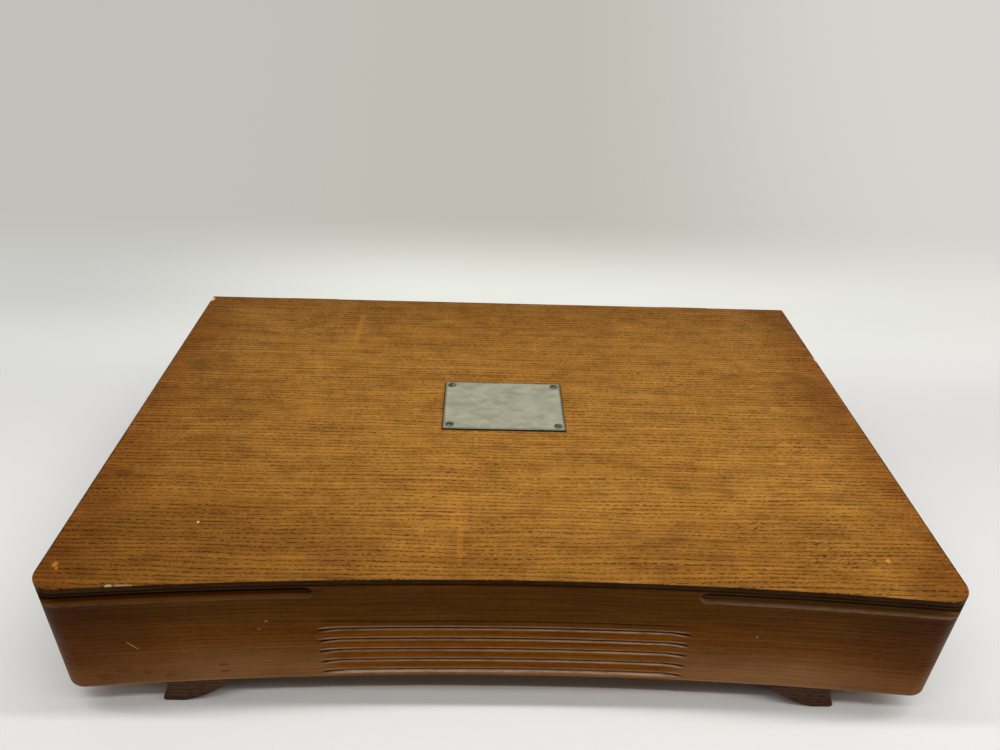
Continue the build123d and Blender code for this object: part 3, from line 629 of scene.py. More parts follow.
# Painted light: the inside of each finger groove is lightened, more at the right
groove_painted_light = mixed(tree, rise(tree, on_front, -60, 60), *map(linear, groove_lit_tones))
colour = mixed(tree, groove_share, colour, groove_painted_light)
grime_share = node(tree, "Attribute", {}, attribute_name="grime").outputs["Fac"]
wear_share = node(tree, "Attribute", {}, attribute_name="wear").outputs["Fac"]
ragged = noise(tree, scaled(tree, place, (0.12, 0.6, 0.6)), 4, 0.65)
pale_share = math(tree, "MULTIPLY", wear_share, rise(tree, ragged, 0.30, 0.60, 0.4, 1.0))
# Painted shade in the recesses, then wear and painted highlights along the arrises
colour = mixed(tree, math(tree, "MULTIPLY", grime_share, 0.94), colour, grime_colour)
colour = mixed(tree, math(tree, "MULTIPLY", pale_share, 0.85), colour, worn_and_highlit_oak)
polish = shader.inputs["Roughness"].links[0].from_socket
dulled = math(tree, "ADD", polish, math(tree, "MULTIPLY", grime_share, 0.6))
tree.links.new(dulled, shader.inputs["Roughness"])


def mark(tree, place, colour, middle, reach, tint, share, ragged=0.5, tilt=0.0):
    """A small mark on a surface: an oval of tint round middle, with a ragged rim.

    Tilt, in degrees, turns an oval on the front away from the level.
    """
    apart = node(tree, "VectorMath", {0: place, 1: middle}, operation="SUBTRACT").outputs[0]
    if tilt:
        turned = {"Vector": apart, "Angle": radians(tilt)}
        apart = node(tree, "VectorRotate", turned, rotation_type="Y_AXIS").outputs[0]
    flat = scaled(tree, apart, [1 / part if part else 0 for part in reach])
    away = node(tree, "VectorMath", {0: flat}, operation="LENGTH").outputs["Value"]
    rough = noise(tree, scaled(tree, place, (0.9, 0.9, 0.9)), 3, 0.6)
    away = math(tree, "ADD", away, math(tree, "MULTIPLY", rough, 2 * ragged))
    inside = rise(tree, away, 0.7 + ragged, 1.0 + ragged, share, 0.0)
    return mixed(tree, inside, colour, tint)


pale_scratch = linear((188, 150, 110))
dark_stain = linear((48, 26, 12))
colour = mark(
    tree, place, colour, (-188.5, -154, 48.3), (4.6, 0, 0.36), pale_scratch, 0.6, 0.25, tilt=-50
)
for middle, reach, tint, share in (
    ((-120.8, -150, 62.5), (1.0, 0, 0.9), pale_scratch, 0.35),
    ((-125, -150, 56.8), (1.2, 0, 0.6), pale_scratch, 0.25),
    ((129.6, -150, 55.9), (0.8, 0, 0.8), pale_scratch, 0.45),
    ((-146.5, -151, 30.5), (3.4, 0, 1.2), dark_stain, 0.5),
    ((-146.0, -151, 25.5), (3.0, 0, 1.0), dark_stain, 0.5),
    ((-185.0, -154, 28.0), (3.0, 0, 3.4), dark_stain, 0.25),
    ((-196.0, -154, 30.0), (5.0, 0, 2.2), dark_stain, 0.25),
    ((-206.0, -153, 26.0), (5.0, 0, 3.0), dark_stain, 0.3),
    ((-174.0, -153, 24.0), (4.0, 0, 2.0), dark_stain, 0.25),
    ((-95.5, -149, groove_z), (5.0, 0, 2.6), dark_stain, 0.5),
):
    colour = mark(tree, place, colour, middle, reach, tint, share, 0.9)
tree.links.new(colour, shader.inputs["Base Color"])

front_board = new_piece(
    "front_board",
    front_sections,
    loft(front_sections),
    front_oak,
    wear=for_inner(wear),
    grime=for_inner(grime),
    reed=for_inner(reed),
    groove=for_inner(in_groove),
)
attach(front_board, "case")
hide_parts("front_wall")

# ---- Side and back boards ----
# Plain oak boards, stained as the front is. The side boards run from front to back and
# lap the ends of the back board, whose rim is let down for the two hinge leaves.


def give(material, *names):
    """Gives CAD nodes a material, in every slot that they have."""
    for name in names:
        for material_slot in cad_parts[name].material_slots:
            material_slot.material = material


def board_oak(name, along):
    """The case's oak, with a duller arris along its hem and painted shade at the top and the seam."""
    material, tree, shader, place, colour = oak(
        name, case_pale, case_deep, case_pore, along, up=2, pore_share=0.6, **varnish
    )
    height = node(tree, "SeparateXYZ", {0: place}).outputs["Z"]
    # Painted shade: darker towards the top
    shade = rise(tree, height, case_bottom + 10, seam_z - 8, 0.5, 0.9)
    colour = mixed(tree, shade, colour, (0.66, 0.62, 0.4, 1), "MULTIPLY")
    pale_share = math(
        tree,
        "MULTIPLY",
        rise(tree, height, case_bottom, case_bottom + 2.2, 1.0, 0.0),
        rise(tree, noise(tree, scaled(tree, place, (0.12, 0.12, 0.6)), 4), 0.4, 0.62),
    )
    colour = mixed(tree, math(tree, "MULTIPLY", pale_share, 0.5), colour, worn_and_highlit_oak)
    # Painted shade along the seam under the lid
    rim = rise(tree, height, seam_z - 0.7, seam_z - 0.2, 0.0, 0.75)
    colour = mixed(tree, rim, colour, grime_colour)
    tree.links.new(colour, shader.inputs["Base Color"])
    return material


give(board_oak("side_oak", 1), "left_wall", "right_wall")
give(board_oak("back_oak", 0), "back_wall")

# ---- Base and its pins ----
# A thin sheet of bare birch ply, let in flush under the boards and held by panel pins.
ply_pale = linear((196, 162, 112))
ply_deep = linear((170, 132, 84))
ply_pore = linear((128, 92, 54))
base_ply, tree, shader, place, colour = oak(
    "base_ply", ply_pale, ply_deep, ply_pore, Specular_IOR_Level=0.3
)
ply_dirt = noise(tree, scaled(tree, place, (0.012, 0.012, 0.012)), 4, 0.6)
colour = mixed(
    tree, rise(tree, ply_dirt, 0.42, 0.72, 0.0, 0.5), colour, (0.62, 0.56, 0.48, 1), "MULTIPLY"
)
tree.links.new(colour, shader.inputs["Base Color"])
give(base_ply, "base_panel")


def metal(name, bright, dull, grain, **sockets):
    """A metal with clouds of tarnish and fine grain of the given size."""
    material, tree, shader, place = new_material(name, Metallic=1.0, **sockets)
    clouds = noise(tree, scaled(tree, place, (0.35, 0.35, 0.35)), 4, 0.62)
    specks = noise(tree, scaled(tree, place, [1 / grain] * 3), 3, 0.6)
    colour = mixed(tree, rise(tree, clouds, 0.35, 0.68), bright, dull)
    colour = mixed(tree, rise(tree, specks, 0.55, 0.75, 0.0, 0.6), colour, dull)
    tree.links.new(colour, shader.inputs["Base Color"])
    tree.links.new(rise(tree, clouds, 0.3, 0.7, 0.28, 0.5), shader.inputs["Roughness"])
    bump = node(tree, "Bump", {"Strength": 0.2, "Distance": 0.00004, "Height": specks})
    tree.links.new(bump.outputs[0], shader.inputs["Normal"])
    return material


plain_steel = metal("plain_steel", linear((176, 174, 168)), linear((112, 106, 98)), 0.25)
give(plain_steel, "base_pins", "foot_screws")

# ---- Feet ----
# Four short blocks of dark stained hardwood, screwed up under the case. The underside
# sweeps up towards the middle of the chest, and the outer face slopes out to a toe.
foot_inner_x = 143.5
foot_outer_top_x = 176.5
foot_toe_x = 183.6
foot_sole_x = 171.5
foot_sweep = (155.5, 7.2)
foot_toe_round = 1.6
foot_edge_round = 0.9
foot_fade = 9.0


def three_point_arc(start, through, end, count):
    """Points along the circle through three points, whose centre solves two distances."""
    a, b, c = (np.array(p, float) for p in (start, through, end))
    centre = np.linalg.solve(2 * np.array((b - a, c - a)), (b @ b - a @ a, c @ c - a @ a))
    turns = np.unwrap([np.arctan2(*(p - centre)[::-1]) for p in (a, b, c)])
    swept = np.linspace(turns[0], turns[2], count)
    return centre + np.hypot(*(a - centre)) * np.column_stack((np.cos(swept), np.sin(swept)))


def rounded_edge(low, high, low_round, high_round, steps=4):
    """Rows of inset and height for a board's edge, rounded at its two faces.

    A last row at each end, a little further in, keeps the flat faces' shading flat.
    """
    further = 0.15
    quarter = np.radians(np.linspace(0, 90, steps + 1))
    below = np.column_stack((1 - np.sin(quarter), 1 - np.cos(quarter))) * low_round
    above = np.column_stack((1 - np.cos(quarter), np.sin(quarter) - 1)) * high_round
    rows = np.vstack((below + (0, low), above + (0, high)))
    return np.vstack((rows[:1] + (further, 0), rows, rows[-1:] + (further, 0)))


def drawn_in(outline):
    """Outward mitre vectors at the corners of a closed outline, (n1 + n2) / (1 + n1.n2)."""
    edge = np.roll(outline, -1, 0) - outline
    length = np.maximum(np.linalg.norm(edge, axis=1, keepdims=True), 1e-9)
    after = np.column_stack((edge[:, 1], -edge[:, 0])) / length
    before = np.roll(after, 1, 0)
    shared = np.maximum(1 + np.sum(before * after, axis=1, keepdims=True), 0.4)
    return (before + after) / shared


def board(outline, edge, axes, share=1.0):
    """Sections of a board: its outline drawn in by each inset of its edge, at that height.

    Axes says which of X, Y and Z the outline's two directions and the height become, and
    share how much of the inset each point of the outline takes.
    """
    share = np.broadcast_to(share, len(outline))
    x, y = outline.T
    if np.sum(x * np.roll(y, -1) - y * np.roll(x, -1)) < 0:
        outline, share = outline[::-1], share[::-1]
    inset, height = edge.T
    flat = outline - inset[:, None, None] * drawn_in(outline) * share[:, None]
    heights = np.broadcast_to(height[:, None, None], (*flat.shape[:2], 1))
    rows = np.concatenate((flat, heights), axis=2)
    return rows[..., np.argsort(axes)]


foot_wood, tree, shader, place, colour = oak(
    "foot_wood",
    linear((88, 57, 33)),
    linear((61, 38, 21)),
    linear((25, 14, 7)),
    up=2,
    Specular_IOR_Level=0.06,
)
foot_height = node(tree, "SeparateXYZ", {0: place}).outputs["Z"]
foot_rub = noise(tree, scaled(tree, place, (0.5, 0.5, 0.5)), 4, 0.6)
toe_wear = math(
    tree,
    "MULTIPLY",
    rise(tree, foot_height, 0.4, 1.8, 1.0, 0.0),
    rise(tree, foot_rub, 0.45, 0.6, 0.0, 0.25),
)
colour = mixed(tree, toe_wear, colour, linear((120, 92, 70)))
tree.links.new(colour, shader.inputs["Base Color"])

sweep = three_point_arc((foot_sole_x, 0), foot_sweep, (foot_inner_x, case_bottom), 22)
toe_angle = np.arctan2(case_bottom, foot_toe_x - foot_outer_top_x)
toe_setback = foot_toe_round / np.tan(toe_angle / 2)
toe_centre = np.array((foot_toe_x - toe_setback, foot_toe_round))
toe_turns = np.linspace(-np.pi / 2, np.pi / 2 - toe_angle, 9)
toe = toe_centre + foot_toe_round * np.column_stack((np.cos(toe_turns), np.sin(toe_turns)))
foot_outline = np.vstack((sweep[::-1], toe, [(foot_outer_top_x, case_bottom)]))
# The rounding of the arrises dies out towards the thin inner end
foot_share = np.clip((foot_outline[:, 0] - foot_inner_x) / foot_fade, 0, 1)
for end in ("front", "rear"):
    for side_name, side in (("left", -1), ("right", 1)):
        foot_node = f"foot_{end}_{side_name}"
        low, high = (1000 * corner[1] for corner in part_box(foot_node))
        foot_edge = rounded_edge(low, high, foot_edge_round, foot_edge_round)
        sections = board(foot_outline * (side, 1), foot_edge, (0, 2, 1), foot_share)
        foot = new_piece(f"swept_{foot_node}", sections, loft(sections), foot_wood)
        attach(foot, "case")
        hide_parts(foot_node)

# ---- Case linings ----
# Green baize glued round thin card: one sheet on the base and one against each wall. The
# card's edges are soft, and the right one is cut away round the plate of the lid stay.


def baize(name, pale, deep, nap=0.35, **sockets):
    """Napped wool cloth: a felted noise of fibres, with lint and slightly rubbed clouds."""
    material, tree, shader, place = new_material(
        name,
        Roughness=0.95,
        Sheen_Weight=0.35,
        Sheen_Roughness=0.5,
        Sheen_Tint=(0.5, 0.75, 0.6, 1.0),
        **sockets,
    )
    felt = noise(tree, scaled(tree, place, [1 / nap] * 3), 4, 0.7)
    clouds = noise(tree, scaled(tree, place, (0.02, 0.02, 0.02)), 4, 0.6)
    lint = rise(tree, noise(tree, scaled(tree, place, (1.6, 0.5, 0.9)), 2), 0.74, 0.8, 0, 0.35)
    colour = mixed(tree, rise(tree, felt, 0.3, 0.7), deep, pale)
    colour = mixed(
        tree, rise(tree, clouds, 0.4, 0.7, 0.0, 0.4), colour, (0.7, 0.74, 0.68, 1), "MULTIPLY"
    )
    colour = mixed(tree, lint, colour, linear((120, 140, 118)))
    tree.links.new(colour, shader.inputs["Base Color"])
    bump = node(tree, "Bump", {"Strength": 0.6, "Distance": 0.00025, "Height": felt})
    tree.links.new(bump.outputs[0], shader.inputs["Normal"])
    return material


case_baize = baize("case_baize", linear((34, 92, 66)), linear((14, 60, 40)))


def box_outline(low, high, first, second):
    """The rectangle of a box seen along its third axis."""
    a, b = (low[first], high[first]), (low[second], high[second])
    return np.array([(a[0], b[0]), (a[1], b[0]), (a[1], b[1]), (a[0], b[1])])


def softened(outline, spacing=0.8, spread=3):
    """An outline with rounded corners, as cloth takes them.

    It is walked in equal steps, and each point moves to the mean of its neighbours. A
    square corner is then round to about a third of the length that is meaned.
    """
    closed = np.vstack((outline, outline[:1]))
    walked = np.append(0, np.cumsum(np.linalg.norm(np.diff(closed, axis=0), axis=1)))
    stops = np.linspace(0, walked[-1], int(walked[-1] / spacing), endpoint=False)
    fine = np.column_stack([np.interp(stops, walked, part) for part in closed.T])
    return sum(np.roll(fine, step, 0) for step in range(-spread, spread + 1)) / (2 * spread + 1)


def covered_board(node_name, outline, axes, edge_round, material, body):
    """A cloth-covered board that stands for a CAD node, between that node's two faces."""
    low, high = (1000 * corner[axes[2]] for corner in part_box(node_name))
    edge = rounded_edge(low, high, edge_round, edge_round)
    sections = board(outline, edge, axes)
    made = new_piece(f"{node_name}_cloth", sections, loft(sections), material, sharp=60)
    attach(made, body)
    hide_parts(node_name)
    return made


def box_mm(name):
    """A CAD node's lowest and highest corners, in millimetres."""
    return [np.array(corner) * 1000 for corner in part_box(name)]


low, high = box_mm("base_lining")
covered_board(
    "base_lining", box_outline(low, high, 0, 1), (0, 1, 2), 0.4, case_baize, "case"
)
for name in ("front_lining", "back_lining"):
    low, high = box_mm(name)
    outline = box_outline(low, high, 0, 2)
    covered_board(name, outline, (0, 2, 1), 0.6, case_baize, "case")
low, high = box_mm("left_lining")
outline = box_outline(low, high, 1, 2)
covered_board("left_lining", outline, (1, 2, 0), 0.6, case_baize, "case")

stay_cut_margin = 1.0
plate_low, plate_high = box_mm("stay_plate")
low, high = box_mm("right_lining")
cut_front, cut_back = plate_low[1] - stay_cut_margin, plate_high[1] + stay_cut_margin
cut_bottom = plate_low[2] - stay_cut_margin
outline = np.array(
    [
        (low[1], low[2]),
        (high[1], low[2]),
        (high[1], high[2]),
        (cut_back, high[2]),
        (cut_back, cut_bottom),
        (cut_front, cut_bottom),
        (cut_front, high[2]),
        (low[1], high[2]),
    ]
)
covered_board("right_lining", outline, (1, 2, 0), 0.6, case_baize, "case")

# ---- Centre bay and rails ----
# Two low boards make a bay for serving pieces. Between them and the sides run notched
# rails that hold the forks and spoons. All are softwood wrapped in the same baize.
rack_baize = baize("rack_baize", linear((38, 98, 70)), linear((16, 64, 43)))
notch_count = 6
rail_notch_pitch = 30.0
rail_notch_width = 15.0
rail_notch_depth = 15.0

for name in ("bay_wall_left", "bay_wall_right"):
    low, high = box_mm(name)
    outline = softened(box_outline(low, high, 0, 2), 0.5)
    covered_board(name, outline, (0, 2, 1), 0.8, rack_baize, "case")


def notched_outline(low, high, pitch, width, depth, upwards):
    """The face of a rail, with round-bottomed notches in its top or its bottom edge."""
    edge, far = (high[2], low[2]) if upwards else (low[2], high[2])
    turn = np.linspace(0, np.pi, 13)
    dip = np.column_stack((np.cos(turn), np.sin(turn))) * width / 2
    into = -1 if upwards else 1
    notch = np.vstack(
        [
            (width / 2, 0),
            dip * (1, into) + (0, into * (depth - width / 2)),
            (-width / 2, 0),
        ]
    )
    steps = (np.arange(notch_count)[::-1] - (notch_count - 1) / 2) * pitch
    notches = notch + np.column_stack((steps + (low[0] + high[0]) / 2, np.full(6, edge)))[:, None]
    corners = np.array([(low[0], edge), (low[0], far), (high[0], far), (high[0], edge)])
    return np.vstack((corners, notches.reshape(-1, 2)))


for name in ("rail_front_left", "rail_front_right", "rail_rear_left", "rail_rear_right"):
    low, high = box_mm(name)
    outline = notched_outline(
        low, high, rail_notch_pitch, rail_notch_width, rail_notch_depth, upwards=True
    )
    covered_board(name, softened(outline), (0, 2, 1), 1.3, rack_baize, "case")

# ---- Lid ----
# One thin board faced with golden oak veneer, flush with the case all round, its arrises
# rubbed round by hands. The two hinge leaves are let in under its back edge.
lid_top_round = 0.8
lid_seam_round = 0.55
leaf_let_in = 1.3
leaf_reach = 8.0
back_corner_radius = 1.5

lid_low, lid_high = box_mm("lid_panel")
lid_top = lid_high[2]
leaf_spans = [
    (box_mm(name)[0][0], box_mm(name)[1][0])
    for name in ("hinge_right_lid_leaf", "hinge_left_lid_leaf")
]
lid_front = front_line([(half_width, 4.0)])
side_run = np.linspace(corner_y, back_y - back_corner_radius, 40)[1:]
back_turn = np.radians(np.linspace(0, 90, 5))[1:]
back_corner = np.column_stack((np.cos(back_turn), np.sin(back_turn))) * back_corner_radius
back_corner = back_corner + (half_width - back_corner_radius, back_y - back_corner_radius)
leaf_xs = [x for left, right in leaf_spans for x in (right, right, left, left)]
leaf_ins = [0, 1, 1, 0] * len(leaf_spans)
right_side = np.column_stack((np.full(39, half_width), side_run))
plain_back = np.column_stack((leaf_xs, np.full(len(leaf_xs), back_y)))
let_back = plain_back - np.column_stack((np.zeros(len(leaf_xs)), leaf_ins)) * leaf_reach
mirror = (-1, 1)


def lid_outline(back):
    """The lid's plan, with one or the other line of points along its back edge."""
    left = np.vstack((right_side, back_corner))[::-1] * mirror
    return np.vstack((lid_front, right_side, back_corner, back, left))


lid_edge = rounded_edge(seam_z, lid_top, lid_seam_round, lid_top_round, 5)
under = lid_edge[lid_edge[:, 1] < seam_z + leaf_let_in]
over = lid_edge[lid_edge[:, 1] > seam_z + leaf_let_in]
lid_sections = np.concatenate(
    (
        board(lid_outline(let_back), np.vstack((under, [(0, seam_z + leaf_let_in)])), (0, 1, 2)),
        board(lid_outline(plain_back), np.vstack(([(0, seam_z + leaf_let_in)], over)), (0, 1, 2)),
    )
)

lid_pale = linear((188, 133, 59))
lid_deep = linear((152, 105, 43))
lid_pore = linear((60, 28, 8))
lid_oak, tree, shader, place, colour = oak(
    "lid_oak", lid_pale, lid_deep, lid_pore, pore_length=2.3, **varnish
)
on_lid = node(tree, "SeparateXYZ", {0: place})
from_middle = math(tree, "ABSOLUTE", on_lid.outputs["X"])
hand_wear = noise(tree, scaled(tree, place, (0.03, 0.03, 0.03)), 3)
darker_ends = rise(
    tree, math(tree, "ADD", from_middle, math(tree, "MULTIPLY", hand_wear, 30)), 200, 246, 0.0, 0.7
)
colour = mixed(tree, darker_ends, colour, (0.6, 0.44, 0.36, 1), "MULTIPLY")
# Darker towards the left, the front, the back and the front-left corner: partly the stain, partly
# painted shade
left_shade = rise(tree, on_lid.outputs["X"], -225, -110, 0.45, 0.0)
front_shade = rise(tree, on_lid.outputs["Y"], -155, -70, 0.7, 0.0)
back_shade = rise(tree, on_lid.outputs["Y"], 75, 155, 0.0, 0.6)
from_corner = node(
    tree, "VectorMath", {0: place, 1: (-half_width, front_y, lid_top)}, operation="DISTANCE"
).outputs["Value"]
corner_shade = rise(tree, from_corner, 20, 250, 1.0, 0.0)
shade = math(tree, "MAXIMUM", math(tree, "MAXIMUM", left_shade, front_shade), back_shade)
shade = math(tree, "MAXIMUM", shade, corner_shade)
colour = mixed(tree, shade, colour, (0.68, 0.62, 0.54, 1), "MULTIPLY")
# Stain lies dark along the outline; dirt and painted shadow lie round the plaque
plaque_low, plaque_high = box_mm("plaque")
plaque_middle = (plaque_low + plaque_high) / 2
half_x, half_y = (plaque_high - plaque_low)[:2] / 2
outline = math(
    tree,
    "MAXIMUM",
    rise(tree, from_middle, half_width - 1.7, half_width - 0.5),
    rise(tree, on_lid.outputs["Y"], back_y - 1.8, back_y - 0.5),
)
outline = math(tree, "MULTIPLY", outline, rise(tree, hand_wear, 0.35, 0.6, 0.85, 0.5))
colour = mixed(tree, outline, colour, (0.3, 0.24, 0.2, 1), "MULTIPLY")
beyond_x = math(tree, "SUBTRACT", from_middle, half_x)
beyond_y = math(
    tree,
    "SUBTRACT",
    math(tree, "ABSOLUTE", math(tree, "SUBTRACT", on_lid.outputs["Y"], plaque_middle[1])),
    half_y,
)
beyond_plaque = math(tree, "MAXIMUM", beyond_x, beyond_y)
colour = mixed(tree, rise(tree, beyond_plaque, 0.2, 1.2, 0.8, 0.0), colour, grime_colour)
clouds = noise(tree, scaled(tree, place, (0.06, 0.09, 0.09)), 4, 0.65)
colour = mixed(
    tree, rise(tree, clouds, 0.46, 0.68, 0.0, 0.8), colour, (0.74, 0.7, 0.76, 1), "MULTIPLY"
)
colour = mixed(
    tree, rise(tree, clouds, 0.3, 0.46, 0.8, 0.0), colour, (0.84, 0.88, 1.0, 1), "DIVIDE"
)
# Large darker patches at the front left and right and near both ends of the lid
darkened_wood = mixed(tree, 1.0, colour, (0.62, 0.57, 0.54, 1), "MULTIPLY")
bare_oak = linear((226, 200, 160))
orange_spot = linear((208, 136, 48))
# Fine dark threads, the level lines of slow noise, in three worn places near the right end
level = math(tree, "SUBTRACT", noise(tree, scaled(tree, place, (0.16, 0.2, 0.2)), 1.5), 0.5)
thread = rise(tree, math(tree, "ABSOLUTE", level), 0.004, 0.022, 0.8, 0.0)
threads = mixed(tree, thread, colour, dark_stain)
for middle, reach, tint, share, ragged in (
    ((-150.0, -132.0, lid_top), (105.0, 46.0, 0), darkened_wood, 0.45, 0.12),
    ((120.0, -124.0, lid_top), (85.0, 26.0, 0), darkened_wood, 0.2, 0.12),
    ((205.0, 15.0, lid_top), (26.0, 45.0, 0), darkened_wood, 0.5, 0.2),
    ((-175.0, 10.0, lid_top), (30.0, 40.0, 0), darkened_wood, 0.35, 0.2),
    ((-229.5, 146.5, lid_top), (2.6, 3.6, 0), bare_oak, 1.0, 0.2),
    ((229.8, 72.5, lid_top), (1.3, 3.6, 0), bare_oak, 0.8, 0.3),
    ((-221.9, -141.0, lid_top), (1.5, 1.7, 0), orange_spot, 0.5, 1.0),
    ((-220.2, -143.6, lid_top), (0.9, 1.1, 0), orange_spot, 0.5, 1.0),
    ((196.4, -129.9, lid_top), (1.4, 1.6, 0), orange_spot, 0.75, 0.8),
    ((-162.2, -109.4, lid_top), (0.8, 0.9, 0), bare_oak, 0.8, 0.2),
    ((-191.0, -154.4, lid_top), (1.9, 1.2, 0), bare_oak, 0.42, 0.6),
    ((-183.0, -154.0, lid_top), (6.0, 0.8, 0), bare_oak, 0.25, 0.9),
    ((-215.5, -70.5, lid_top), (6.0, 4.0, 0), dark_stain, 0.45, 0.9),
    ((171.5, -126.9, lid_top), (24.0, 14.0, 0), threads, 1.0, 0.5),
    ((171.5, -108.0, lid_top), (16.0, 9.0, 0), dark_stain, 0.2, 0.9),
    ((128.7, -105.4, lid_top), (12.0, 7.0, 0), threads, 0.9, 0.5),
    ((177.1, -33.9, lid_top), (16.0, 9.0, 0), threads, 0.9, 0.5),
    ((196.0, -80.0, lid_top), (14.0, 9.0, 0), dark_stain, 0.22, 0.9),
    ((164.8, -51.0, lid_top), (5.0, 1.3, 0), orange_spot, 0.6, 0.4),
    ((-207.3, 46.8, lid_top), (9.0, 8.0, 0), dark_stain, 0.25, 0.9),
    ((-106.7, 104.7, lid_top), (2.5, 26.0, 0), orange_spot, 0.22, 0.6),
    ((-24.5, -119.6, lid_top), (2.0, 20.0, 0), orange_spot, 0.18, 0.6),
):
    colour = mark(tree, place, colour, middle, reach, tint, share, ragged)
# Down the edge: a rubbed arris, a dark line below it, the board, and painted shade at the seam
edge_height = on_lid.outputs["Z"]
edge_rub = noise(tree, scaled(tree, place, (0.1, 0.1, 1.2)), 4, 0.65)
lid_side = mixed(
    tree, rise(tree, edge_rub, 0.35, 0.65), linear((60, 36, 4)), linear((34, 19, 1))
)
lid_side = mixed(
    tree,
    rise(tree, edge_height, lid_top - 1.5, lid_top - 0.9, 0.0, 0.85),
    lid_side,
    linear((40, 16, 10)),
)
lid_side = mixed(
    tree, rise(tree, edge_height, seam_z + 0.4, seam_z + 1.2, 0.95, 0.0), lid_side, grime_colour
)
colour = mixed(
    tree, rise(tree, edge_height, lid_top - 0.75, lid_top - 0.45, 1.0, 0.0), colour, lid_side
)
arris = math(
    tree,
    "MULTIPLY",
    rise(tree, edge_height, lid_top - 0.62, lid_top - 0.42),
    rise(tree, edge_height, lid_top - 0.1, lid_top - 0.02, 1.0, 0.0),
)
arris_rub = noise(tree, scaled(tree, place, (0.035, 0.035, 0.035)), 3, 0.7)
arris = math(tree, "MULTIPLY", arris, rise(tree, arris_rub, 0.5, 0.7, 0.0, 0.2))
colour = mixed(tree, arris, colour, worn_and_highlit_oak)
tree.links.new(colour, shader.inputs["Base Color"])

lid_board = new_piece("lid_board", lid_sections, loft(lid_sections), lid_oak)
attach(lid_board, "lid")
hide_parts("lid_panel")

# ---- Plaque and its screws ----
# A thin nickel plate with a fine bevel, tarnished to a grey green and left bare, in the
# middle of the lid. Four slotted screws with low domed heads hold its corners.
plaque_bevel = 0.35
screw_radius = 2.3
screw_rise = 0.45
screw_skirt = 0.3
slot_width = 0.7
slot_depth = 0.6
screw_inset = 4.2
slot_turns = (20, 75, 130, 15)

plaque_metal, tree, shader, place = new_material("plaque_metal", Metallic=0.75)
blotches = noise(tree, scaled(tree, place, (0.09, 0.14, 0.1)), 5, 0.65)
mottle = noise(tree, scaled(tree, place, (0.9, 0.9, 0.9)), 4, 0.7)
brushed = noise(tree, scaled(tree, place, (0.15, 5.0, 5.0)), 3, 0.6)
colour = mixed(
    tree, rise(tree, blotches, 0.34, 0.66), linear((205, 201, 178)), linear((178, 176, 155))
)
colour = mixed(
    tree, rise(tree, mottle, 0.45, 0.72, 0.0, 0.5), colour, (0.78, 0.8, 0.78, 1), "MULTIPLY"
)
colour = mixed(
    tree, rise(tree, brushed, 0.4, 0.75, 0.0, 0.25), colour, (0.8, 0.82, 0.8, 1), "MULTIPLY"
)
on_plaque = node(tree, "SeparateXYZ", {0: place})
across = math(
    tree, "ABSOLUTE", math(tree, "SUBTRACT", on_plaque.outputs["X"], plaque_middle[0])
)
up_plate = math(
    tree, "ABSOLUTE", math(tree, "SUBTRACT", on_plaque.outputs["Y"], plaque_middle[1])
)
rim = math(
    tree,
    "MAXIMUM",
    rise(tree, across, half_x - 1.8, half_x - 0.2),
    rise(tree, up_plate, half_y - 1.8, half_y - 0.2),
)
colour = mixed(tree, math(tree, "MULTIPLY", rim, 0.7), colour, linear((74, 80, 74)))
# Painted shade: the plate's bevel and sides are darkened
edge_shade = rise(tree, on_plaque.outputs["Z"], plaque_high[2] - 0.3, plaque_high[2] - 0.1, 0.9, 0.0)
colour = mixed(tree, edge_shade, colour, linear((30, 29, 26)))
screw_across = math(tree, "SUBTRACT", across, half_x - screw_inset)
screw_up = math(tree, "SUBTRACT", up_plate, half_y - screw_inset)
to_screw = node(
    tree,
    "VectorMath",
    {0: node(tree, "CombineXYZ", {"X": screw_across, "Y": screw_up}).outputs[0]},
    operation="LENGTH",
).outputs["Value"]
colour = mixed(
    tree, rise(tree, to_screw, screw_radius, screw_radius + 1.0, 0.8, 0.0), colour, linear((40, 40, 34))
)
tree.links.new(colour, shader.inputs["Base Color"])
tree.links.new(rise(tree, mottle, 0.3, 0.7, 0.38, 0.58), shader.inputs["Roughness"])
bump = node(tree, "Bump", {"Strength": 0.25, "Distance": 0.00006, "Height": mottle})
tree.links.new(bump.outputs[0], shader.inputs["Normal"])

plaque_edge = rounded_edge(plaque_low[2], plaque_high[2], 0.05, plaque_bevel, 3)
plaque_outline = softened(box_outline(plaque_low, plaque_high, 0, 1), 0.4, 2)
sections = board(plaque_outline, plaque_edge, (0, 1, 2))
plaque_plate = new_piece("plaque_plate", sections, loft(sections), plaque_metal)
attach(plaque_plate, "lid")
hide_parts("plaque")

dark_screw = metal("dark_screw", linear((150, 148, 132)), linear((48, 44, 37)), 0.3)
# Rows run across the head at y; each goes over the dome, z = rise (1 - (r/R)^2), and back
# underneath, and the rows within the slot are let down to its floor.
slot_edge = slot_width / 2
row_y = np.concatenate(
    (
        -screw_radius * np.cos(np.linspace(0, np.pi / 2, 9)[:-1]),
        [-slot_edge, -slot_edge + 0.01, 0, slot_edge - 0.01, slot_edge],
        screw_radius * np.sin(np.linspace(0, np.pi / 2, 9)[1:]),
    )
)
row_y = np.sort(row_y[(np.abs(row_y) >= slot_edge) | (np.abs(row_y) < slot_edge)])
in_slot = np.abs(row_y) < slot_edge - 0.005
half_chord = np.sqrt(np.maximum(screw_radius**2 - row_y**2, 0))
there = np.sin(np.linspace(-np.pi / 2, np.pi / 2, 13))
head_x = half_chord[:, None] * np.append(there, there[::-1])
head_y = np.broadcast_to(row_y[:, None], head_x.shape)
dome = screw_rise * (1 - (head_x**2 + head_y**2) / screw_radius**2)
dome[:, :13] -= in_slot[:, None] * slot_depth
